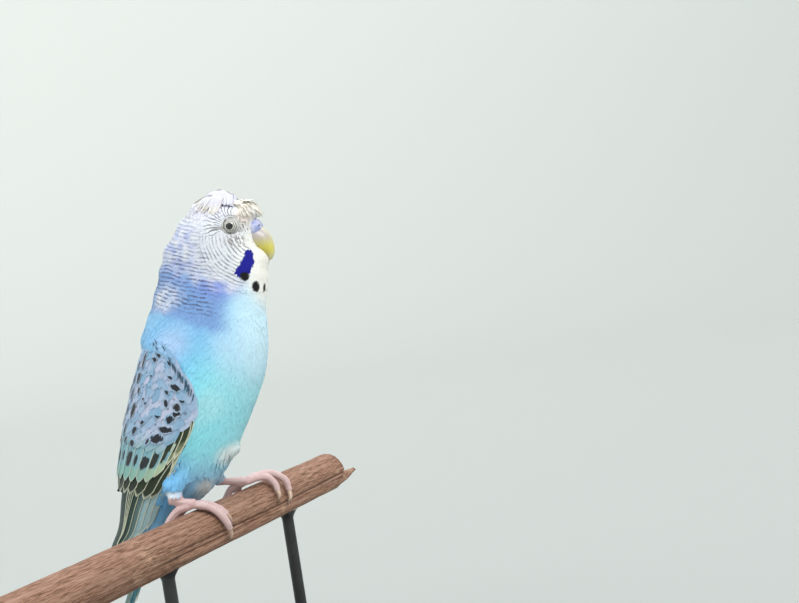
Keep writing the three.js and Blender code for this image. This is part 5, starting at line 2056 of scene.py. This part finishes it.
def cere_points():
    """Points and faces of the cere, and how far each point is from a nostril."""
    polar = np.linspace(0.02, math.pi - 0.02, CERE_RINGS)[:, None]
    turn = full_turn(CERE_SIDES)[None]
    x = np.sin(polar) * np.cos(turn)
    y = np.sin(polar) * np.sin(turn)
    z = np.cos(polar) * np.ones_like(turn)
    sphere = np.stack([x, y, z], axis=-1)
    mounds = 1 + 0.07 * np.exp(-((np.abs(y) - 0.5) ** 2) / 0.08) * smoothstep(-0.2, 0.5, x)
    groove = -0.07 * np.exp(-(y**2) / 0.012) * smoothstep(0.0, 0.5, x)
    hole = np.linalg.norm(np.stack([x, np.abs(y), z], axis=-1) - unit(NOSTRIL), axis=-1)
    rim = 0.05 * np.exp(-((hole - 0.2) ** 2) / 0.003)
    pit = -0.22 * (1 - smoothstep(0.04, 0.16, hole))
    shaped = sphere * (mounds + groove + rim + pit)[..., None] * CERE_RADII
    c, s = math.cos(CERE_TURN), math.sin(CERE_TURN)
    x, y, z = np.moveaxis(shaped, -1, 0)
    points, faces = tube(np.stack([x * c + z * s, y, z * c - x * s], axis=-1) + CERE_CENTRE)
    return points, outward(points, faces), {"hole": np.concatenate([hole.ravel(), [1, 1]])}


cere = mesh_object("cere_wax", *cere_points())
CERE_VIOLET = linear((156, 168, 214))
CERE_PALE = linear((206, 204, 224))
cere_material, n, shader = new_material("waxy cere", Roughness=0.4, Specular_IOR_Level=0.45, Coat_Weight=0.15)
broad, fine = mottle(n, 0.7)
colour = n.mix(n.range(broad, 0.35, 0.7), CERE_VIOLET, CERE_PALE)
# The nostrils' pits are painted a dark violet, a painted shade inside the holes.
colour = n.mix(n.range(n.attribute("hole"), 0.15, 0.05), colour, linear((60, 54, 92)))
n.surface(shader, colour, fine, 0.35, 0.00018)
finished(cere, cere_material, "cere", "cere")
print("cere", len(cere.data.polygons), "faces")

# %% [markdown]
# ## The eyes
#
# The eyeball is a globe with a slightly steeper cornea. Seen from the side its rings are the black
# pupil, a pale iris and a dark edge, and they are drawn by the distance from the eye's own axis. The
# clear wet coat over them comes from the shader's own coat, so the rings stay sharp under the gloss.

# %% Make the eyeballs
PUPIL = 1.36
IRIS = 1.84
EYE_RINGS = 40
EYE_SIDES = 64


def eye_globe(side):
    """Points and faces of an eyeball, a globe with a low bulge where it looks out."""
    polar = np.linspace(0.0, math.pi, EYE_RINGS + 2)[1:-1, None]
    turn = full_turn(EYE_SIDES)
    reach = EYE_RADIUS * (1 + 0.03 * np.exp(-(polar / 0.45) ** 2))
    outwards = side * (abs(EYE_PLACE[1]) + reach * np.cos(polar)) + 0 * turn
    points, faces = tube(np.stack([EYE_PLACE[0] + reach * np.sin(polar) * np.cos(turn), outwards,
                                   EYE_HEIGHT + reach * np.sin(polar) * np.sin(turn)], axis=-1))
    return points, outward(points, faces)


eye_material, n, shader = new_material("wet eye", Roughness=0.08, Specular_IOR_Level=0.5, Coat_Weight=1.0,
                                       Coat_Roughness=0.03)
centre = metres([EYE_PLACE])[0]
offset = n.vector("SUBTRACT", n.place(), tuple(centre))
flat_offset = n.vector("MULTIPLY", offset, (1.0, 0.0, 1.0))
from_axis = n.times(n.vector("LENGTH", flat_offset), 1000.0)
IRIS_PALE = linear((226, 222, 208))
IRIS_BROWN = linear((66, 48, 38))
fibres = n.noise(n.place(), 2600.0, 4.0)
colour = n.mix(n.range(from_axis, PUPIL - 0.05, PUPIL + 0.06), linear((6, 6, 8)), IRIS_BROWN)
colour = n.mix(n.range(from_axis, PUPIL + 0.06, PUPIL + 0.22), colour, IRIS_PALE)
fibrous = n.times(n.range(fibres, 0.45, 0.75), n.range(from_axis, PUPIL, IRIS))
colour = n.mix(fibrous, colour, IRIS_BROWN)
colour = n.mix(n.range(from_axis, IRIS - 0.08, IRIS + 0.05), colour, linear((14, 12, 12)))
n.join(colour, shader.inputs["Base Color"])
for label, side in (("right", -1), ("left", 1)):
    finished(mesh_object(f"eyeball_{label}", *eye_globe(side)), eye_material, "eye", f"eye_{label}")
print("eyes ready")

# %% [markdown]
# ## Scales on the toes
#
# The top of each toe is covered by broad overlapping plates, and so is the shank. A second node tree
# plants them. Numpy lays points along each toe's path, with the way ahead and the way out, and the
# tree puts one bent plate on each. A plate's far edge stands a little proud and folds down, so it
# casts a fine line.

# %% Grow the scales
SCALE_STEP = 0.95
scale_tree, n, given, made = geometry_tree("plant scales", {
    "Length": ("NodeSocketFloat", 0.9),
    "Span": ("NodeSocketFloat", 1.9),
    "Step Up": ("NodeSocketFloat", 0.08),
    "Material": ("NodeSocketMaterial", None),
})
grid = {"Size X": 2.0, "Size Y": 1.0, "Vertices X": 13, "Vertices Y": 5}
plate = n.add("GeometryNodeMeshGrid", grid).outputs["Mesh"]
at = n.add("ShaderNodeSeparateXYZ", {0: n.add("GeometryNodeInputPosition").outputs[0]}).outputs
plate = store(n, plate, "u", at["X"])
plate = store(n, plate, "v", n.plus(at["Y"], 0.5))
u, v = read(n, "u"), read(n, "v")
bow_turn = n.times(u, given["Span"])
fall = n.times(n.math("GREATER_THAN", v, 0.9), -0.11)
height = n.plus(n.times_plus(v, given["Step Up"], 0.985), fall)
crown = n.times(u, u, -0.25)
length = n.times(n.plus(n.math("MINIMUM", v, 0.8), crown), given["Length"])
bent = n.combine(n.times(n.math("SINE", bow_turn), height), length,
                 n.times(n.math("COSINE", bow_turn), height))
plate = n.add("GeometryNodeSetPosition", {"Geometry": plate, "Position": bent}).outputs[0]
plant = n.add("GeometryNodeInstanceOnPoints", {
    "Points": given["Geometry"], "Instance": plate, "Scale": read(n, "radius"),
    "Rotation": facing(n, "Y", "Z", read(n, "ahead", "FLOAT_VECTOR"), read(n, "out", "FLOAT_VECTOR"))})
real = n.add("GeometryNodeRealizeInstances", {"Geometry": plant.outputs[0]}).outputs[0]
painted = n.add("GeometryNodeSetMaterial", {"Geometry": real, "Material": given["Material"]}).outputs[0]
n.join(painted, made["Geometry"])

FOOT_PALE = linear((216, 190, 186))
FOOT_LINE = linear((150, 108, 108))
scale_material, n, shader = new_material("foot scales", Roughness=0.5, Specular_IOR_Level=0.35)
broad, fine = mottle(n, 0.8)
colour = n.mix(n.range(broad, 0.3, 0.75), FOOT_PINK, FOOT_PALE)
edge_line = n.math("MAXIMUM", n.range(n.attribute("v"), 0.72, 1.0),
                   n.range(n.math("ABSOLUTE", n.attribute("u")), 0.9, 1.0, 0.0, 0.5))
colour = n.mix(n.times(edge_line, 0.65), colour, FOOT_LINE)
n.surface(shader, colour, fine, 0.3, 0.0002)


def scale_points(foot):
    """Places, ways ahead, ways out and radii for one foot's plates."""
    rows = []
    knuckle = on_perch([foot["knuckle"]])[0]
    lines = [(on_perch(places), TOE_RADII) for places in foot["toes"].values()]
    heel = np.array(foot["heel"])
    lines.append((np.array([heel, (heel + knuckle) / 2, knuckle]), TARSUS_RADII))
    for line, radii in lines:
        length = np.linalg.norm(np.diff(line, axis=0), axis=1).sum()
        count = max(4, round(length / SCALE_STEP))
        t = np.linspace(0.06, 0.985, count) * (len(line) - 1)
        places = through(line, t)
        ahead = unit(through(line, t + 0.02) - through(line, t - 0.02))
        base = places - [0, 0, -PERCH_RADIUS]
        out = unit(base - np.outer(base @ PERCH_AHEAD, PERCH_AHEAD))
        radius = through(radii, t / (len(line) - 1) * (len(radii) - 1))
        rows.append((places, ahead, out, radius))
    return [np.concatenate(column) for column in zip(*rows)]


for label, foot in FEET.items():
    places, ahead, out, radius = scale_points(foot)
    ground = mesh_object(f"scales_{label}_points", places, [], {"radius": radius * MM},
                         vectors={"ahead": ahead, "out": out})
    scales = grown(f"scales_{label}", ground, scale_tree, {
        "Length": 0.9, "Span": 1.75, "Step Up": 0.07, "Material": scale_material})
    bpy.data.objects.remove(ground)
    shade_smooth(scales.data)
    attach(scales, "root")
    print("scales", label, len(places))

# %% [markdown]
# ## Claws
#
# Each toe ends in a curved claw, round above and a little hollow below. A tapering tube along the
# claw's path is enough, with the horn's own colour darker towards its point.

# %% Make the claws
CLAW_RADII = (1.0, 0.98, 0.62, 0.14)
claw_material, n, shader = new_material("claw horn", Roughness=0.35, Specular_IOR_Level=0.5, Coat_Weight=0.2)
broad, fine = mottle(n, 0.9)
colour = n.mix(n.range(broad, 0.3, 0.7), linear((214, 186, 164)), linear((176, 142, 124)))
colour = n.mix(n.range(n.attribute("v"), 0.45, 1.0), colour, linear((128, 104, 92)))
n.surface(shader, colour, fine, 0.15, 0.00015)
CLAW_RINGS = 20
CLAW_SIDES = 18
for label, foot in FEET.items():
    for name, places in foot["claws"].items():
        points, faces = limb(on_perch(places), CLAW_RADII, CLAW_SIDES, CLAW_RINGS)
        v = np.concatenate([np.repeat(np.linspace(0, 1, CLAW_RINGS), CLAW_SIDES), [0, 1]])
        talon = mesh_object(f"talon_{label}_{name}", points, outward(points, faces), {"v": v})
        finished(talon, claw_material, "claw", f"claw_{label}_{name}")
print("claws", sum(len(foot["claws"]) for foot in FEET.values()))

# %% [markdown]
# ## The perch
#
# The stick is bare, weathered wood. Its fibres run along it, it has split along one side, and the
# split's lip runs on past its far end. A tube with many rings follows the stick, and noise stretched
# along the grain moves its points: broad noise for the stick's own unevenness, narrow noise for
# fibres, and one deep groove for the split.

# %% Shape the perch
PERCH_NEAR = -136.0
PERCH_FAR = 97.0
PERCH_ROUND = 5.0
PERCH_RINGS = 230
PERCH_SIDES = 150
PERCH_END_RINGS = 12
GROOVE_DEGREES = 114.0
GROOVE_DEPTH = 1.5


def bark(along, turn):
    """How far the wood stands off a smooth stick at places along and round it, and its fibres alone."""
    rows = []
    for a, b in zip(along, turn):
        ring = Vector((math.cos(b), math.sin(b), 0))
        broad = noise.noise(Vector((ring.x * 1.2, ring.y * 1.2, a / 38)))
        fibre = noise.noise(Vector((ring.x * 13, ring.y * 13, a / 17 + 5)))
        fine = noise.noise(Vector((ring.x * 34, ring.y * 34, a / 6 + 9)))
        rows.append((0.32 * broad + 0.16 * fibre + 0.06 * fine, fibre))
    return np.array(rows)


round_off = np.linspace(0.12, 1.45, PERCH_END_RINGS)
along_rings = np.concatenate([
    [PERCH_NEAR, PERCH_NEAR], np.linspace(PERCH_NEAR + 0.8, PERCH_FAR - PERCH_ROUND, PERCH_RINGS),
    PERCH_FAR - PERCH_ROUND + PERCH_ROUND * np.sin(round_off)])
narrow = np.concatenate([[1.6, 0.5], np.zeros(PERCH_RINGS), PERCH_ROUND * (1 - np.cos(round_off))])
along_all = np.repeat(along_rings, PERCH_SIDES)
turn_all = np.tile(full_turn(PERCH_SIDES), len(along_rings))
relief, fibre = bark(along_all, turn_all).T
groove_at = math.radians(GROOVE_DEGREES) + 0.07 * np.sin(along_all / 31) - 0.0009 * along_all
gap_turn = (turn_all - groove_at) * PERCH_RADIUS
groove = np.exp(-(gap_turn / 0.95) ** 2) * (0.65 + 0.35 * np.sin(along_all / 13))
groove = groove + 0.55 * np.exp(-((gap_turn + 2.6) / 0.5) ** 2)
groove = groove * smoothstep(-75, -30, along_all)
radius = PERCH_RADIUS - 0.32 + relief - GROOVE_DEPTH * groove - np.repeat(narrow, PERCH_SIDES)
rings = (along_all[:, None] * PERCH_AHEAD + (radius * np.sin(turn_all))[:, None] * PERCH_SIDE
         + np.outer(radius * np.cos(turn_all) - PERCH_RADIUS, [0, 0, 1.0]))
points, faces = tube(rings.reshape(len(along_rings), PERCH_SIDES, 3))
end_grain = np.repeat((narrow > 0.2) * smoothstep(0.3, 3.5, narrow), PERCH_SIDES)


def wood_numbers(along, turn, size, fibre, groove, end):
    """The numbers that the wood's material reads."""
    return {"along": along, "round_x": size * np.cos(turn), "round_y": size * np.sin(turn),
            "fibre": fibre, "groove": groove, "end": end}


with_ends = [np.concatenate([values, ends]) for values, ends in (
    (along_all, [PERCH_NEAR, PERCH_FAR]), (turn_all, [0, 0]), (fibre, [0, 0]), (groove, [0, 0]),
    (end_grain, [1, 1]))]
numbers = wood_numbers(with_ends[0], with_ends[1], 10, *with_ends[2:])
perch = mesh_object("perch_stick", points, outward(points, faces), numbers)

# the split's lip
LIP_RINGS = 150
LIP_SIDES = 40
LIP_FROM = -70
LIP_TO = 112
LIP_DEGREES = 128.0
LIP_PLACES = [(LIP_FROM, 126, -2.2), (-20, LIP_DEGREES, -2.0), (40, LIP_DEGREES, -2.2),
              (90, LIP_DEGREES, -2.8), (LIP_TO, LIP_DEGREES, -4.0)]
LIP_RADII = (0.9, 2.7, 3.1, 2.9, 0.8)

points, faces = limb(on_perch(LIP_PLACES), LIP_RADII, LIP_SIDES, LIP_RINGS)
along = np.concatenate([np.repeat(np.linspace(LIP_FROM, LIP_TO, LIP_RINGS), LIP_SIDES), [LIP_FROM, LIP_TO]])
turn = np.concatenate([np.tile(full_turn(LIP_SIDES), LIP_RINGS), [0, 0]])
relief, fibre = bark(along * 1.3 + 200, turn).T
above = np.interp(along, [LIP_FROM, 90, LIP_TO], [-2.2, -2.8, -4.0])
middle = on_perch(np.column_stack([along, np.full(len(along), LIP_DEGREES), above]))
points = points + unit(points - middle) * (1.6 * relief)[:, None]
numbers = wood_numbers(along + 40, turn, 4, fibre, 0 * along, smoothstep(104, LIP_TO, along))
joined(perch, [mesh_object("lip", points, outward(points, faces), numbers)])

WOOD_RED = linear((168, 128, 106))
WOOD_DARK = linear((104, 72, 54))
WOOD_TAN = linear((206, 170, 142))
WOOD_GREY = linear((176, 142, 122))
SPLIT_SHADE = linear((58, 36, 26))
perch_material, n, shader = new_material("weathered stick", Roughness=0.75, Specular_IOR_Level=0.25)
grain_place = n.combine(n.attribute("round_x"), n.attribute("round_y"), n.times(n.attribute("along"), 0.07))
fine_grain = n.noise(grain_place, 2.6, 6.0, 0.65)
broad_grain = n.noise(grain_place, 0.55, 3.0, 0.55)
patches = n.noise(n.place(), 55.0, 3.0, 0.6)
colour = n.mix(n.range(fine_grain, 0.38, 0.62), WOOD_DARK, WOOD_RED)
colour = n.mix(n.times(n.range(broad_grain, 0.45, 0.7), 0.6), colour, WOOD_GREY)
bleached = n.times(n.range(patches, 0.52, 0.72), n.range(fine_grain, 0.4, 0.65))
colour = n.mix(bleached, colour, WOOD_TAN)
# The split's groove is painted dark brown, a painted shade in the recess.
colour = n.mix(n.times(n.range(n.attribute("groove"), 0.2, 0.7), 0.92), colour, SPLIT_SHADE)
colour = n.mix(n.times(n.attribute("end"), 0.45), colour, WOOD_DARK)
n.join(n.times_plus(fine_grain, -0.25, 0.9), shader.inputs["Roughness"])
n.surface(shader, colour, fine_grain, 0.6, 0.0006)
finished(perch, perch_material, "perch_wood", "perch")
print("perch", 2 * len(perch.data.polygons), "triangles")

# %% [markdown]
# ## The display stand
#
# A museum would hold the stick on a plain base with two rods, all in a quiet dark finish. All three
# are shapes of revolution, so one function turns a profile. Where a rod meets the stick its top is
# hollowed to fit the round of the wood.

# %% Turn the stand
BASE_RADIUS = 62.0
BASE_HEIGHT = 11.0
BASE_EASE = 1.5
ROD_RADIUS = 2.6
ROD_FOOT = 7.0
ROD_SADDLE = 5.0
ROD_PLACES = (-44.0, 50.0)


def turned(profile, sides, centre=(0.0, 0.0), clip=None):
    """A closed shape of revolution from a profile of (radius, height) in millimetres above the shelf."""
    r, z = np.array(profile).T[:, :, None]
    turn = full_turn(sides)
    x, y = centre[0] + r * np.cos(turn), centre[1] + r * np.sin(turn)
    rings = np.stack([x, y, z - PERCH_TOP + 0 * turn], axis=-1)
    if clip is not None:
        rings[:, :, 2] = np.minimum(rings[:, :, 2], clip(rings))
    points, faces = tube(rings)
    if clip is not None:
        points[-1, 2] = min(points[-1, 2], clip(points[-1][None, None])[0, 0])
    return points, outward(points, faces)


def rounded(corner, radius, start, end, count=8):
    """A round stretch of a profile about a corner's centre, between two angles in degrees."""
    turn = np.radians(np.linspace(start, end, count))
    return [(corner[0] + radius * math.cos(a), corner[1] + radius * math.sin(a)) for a in turn]


def under_perch(rings):
    """The height of the stick's underside over each point, less a hair's breadth."""
    aside = rings @ PERCH_SIDE
    return -PERCH_RADIUS - np.sqrt(np.maximum(0.0, (PERCH_RADIUS + 0.1) ** 2 - aside**2)) - 0.05


base_profile = [(0.5, 0.0), (30.0, 0.0)]
base_profile += rounded((BASE_RADIUS - BASE_EASE, BASE_EASE), BASE_EASE, -90, 0)
base_profile += rounded((BASE_RADIUS - BASE_EASE, BASE_HEIGHT - BASE_EASE), BASE_EASE, 0, 90)
base_profile += [(50.0, BASE_HEIGHT), (25.0, BASE_HEIGHT), (0.5, BASE_HEIGHT)]
points, faces = turned(base_profile, 160)
base = mesh_object("stand_base_disc", points, faces)
stand_pieces = [(base, "stand_base", "stand_wood")]
for number, along in enumerate(ROD_PLACES, 1):
    centre = (PERCH_AHEAD * along)[:2]
    bottom = BASE_HEIGHT + 0.3
    saddle = PERCH_TOP - PERCH_RADIUS - 8
    profile = [(0.4, bottom), (ROD_FOOT - 0.4, bottom)]
    profile += rounded((ROD_FOOT - 0.7, bottom + 1.1), 0.7, -60, 60, 6)
    profile += [(ROD_FOOT - 1.2, bottom + 2.4), (ROD_RADIUS + 1.1, bottom + 3.1),
                (ROD_RADIUS + 0.25, bottom + 3.9), (ROD_RADIUS, bottom + 5)]
    profile += [(ROD_RADIUS, bottom + 5 + (saddle - 9 - bottom) * k / 5) for k in range(1, 6)]
    profile += [(ROD_RADIUS + 0.3, saddle - 3), (ROD_RADIUS + 1.2, saddle - 1.6),
                (ROD_SADDLE - 0.5, saddle - 0.5), (ROD_SADDLE, saddle + 0.5)]
    profile += [(reach, saddle + 9) for reach in (ROD_SADDLE, 3.5, 2.0, 0.4)]
    points, faces = turned(profile, 64, centre, under_perch)
    rod = mesh_object(f"stand_rod_{number}_turned", points, faces)
    stand_pieces.append((rod, f"stand_rod_{number}", "stand_metal"))


def stand_material(name, colour, rough, wood):
    material, n, shader = new_material(name, Roughness=rough, Specular_IOR_Level=0.4)
    broad, fine = mottle(n, 2.0)
    lighter = tuple(1.5 * x + 0.004 for x in colour)
    if wood:
        grain = n.stretched_noise((30, 420, 420), 4.0)
        n.surface(shader, n.mix(n.range(grain, 0.4, 0.65), colour, lighter), grain, 0.2, 0.0004)
    else:
        n.surface(shader, n.mix(n.range(broad, 0.35, 0.7), colour, lighter), fine, 0.15, 0.0002)
    n.join(n.times_plus(fine, 0.2, rough - 0.1), shader.inputs["Roughness"])
    return material


ebonised = stand_material("ebonised wood", linear((46, 40, 37)), 0.42, True)
black_paint = stand_material("black paint", linear((42, 42, 43)), 0.45, False)
for piece, node, slot in stand_pieces:
    finished(piece, ebonised if slot == "stand_wood" else black_paint, slot, node)
print("stand", [node for _, node, _ in stand_pieces])

# %% [markdown]
# ## The studio
#
# The bird stands in a plain pale dish whose rim curves up out of sight, so no horizon shows. A large
# soft light stands to the right and in front, a weaker one fills the shadows from the left, a third
# lights the far side, and a pale sky lights the rest.

# %% Floor and lights
FLOOR_FLAT = 1.5
FLOOR_RIM = 3.6
FLOOR_RISE = 2.6
FLOOR_RINGS = 39
FLOOR_SIDES = 96
reach = FLOOR_RIM * np.arange(1, FLOOR_RINGS + 1)[:, None] / FLOOR_RINGS
lift = FLOOR_RISE * np.maximum(0.0, (reach - FLOOR_FLAT) / (FLOOR_RIM - FLOOR_FLAT)) ** 2.2
turn = full_turn(FLOOR_SIDES)
floor_points = np.stack([reach * np.cos(turn), reach * np.sin(turn), lift + 0 * turn], axis=-1)
floor_faces = grid_faces(FLOOR_RINGS, FLOOR_SIDES, closed=True) + [tuple(reversed(range(FLOOR_SIDES)))]
floor_mesh = bpy.data.meshes.new("floor")
floor_mesh.from_pydata(floor_points.reshape(-1, 3).tolist(), [], floor_faces)
shade_smooth(floor_mesh)
floor = placed("floor", floor_mesh)
floor_material, n, shader = new_material("pale floor", Roughness=0.9)
shader.inputs["Base Color"].default_value = rgba(linear((168, 171, 166)))
floor_mesh.materials.append(floor_material)


def sunlight(name, toward, strength, softness, colour):
    """Light from far off, the same over the whole floor, so that the background stays even."""
    data = bpy.data.lights.new(name, "SUN")
    data.energy = strength
    data.angle = math.radians(softness)
    data.color = colour
    light = placed(name, data)
    light.rotation_mode = "QUATERNION"
    light.rotation_quaternion = Vector(toward).to_track_quat("-Z", "Y")


sunlight("key", (-0.66, 0.66, -0.62), 3.1, 35.0, (1.0, 0.985, 0.96))
sunlight("fill", (0.8, 0.6, -0.4), 0.95, 60.0, (0.95, 0.98, 1.0))
sunlight("back", (-0.2, -0.9, -0.7), 0.9, 60.0, (1.0, 1.0, 1.0))
world = bpy.data.worlds.new("studio")
world.use_nodes = True
world.node_tree.nodes["Background"].inputs["Color"].default_value = (0.9, 0.94, 1.0, 1.0)
world.node_tree.nodes["Background"].inputs["Strength"].default_value = 1.6
bpy.context.scene.world = world
bpy.context.scene.view_settings.view_transform = "Standard"
print("studio ready")
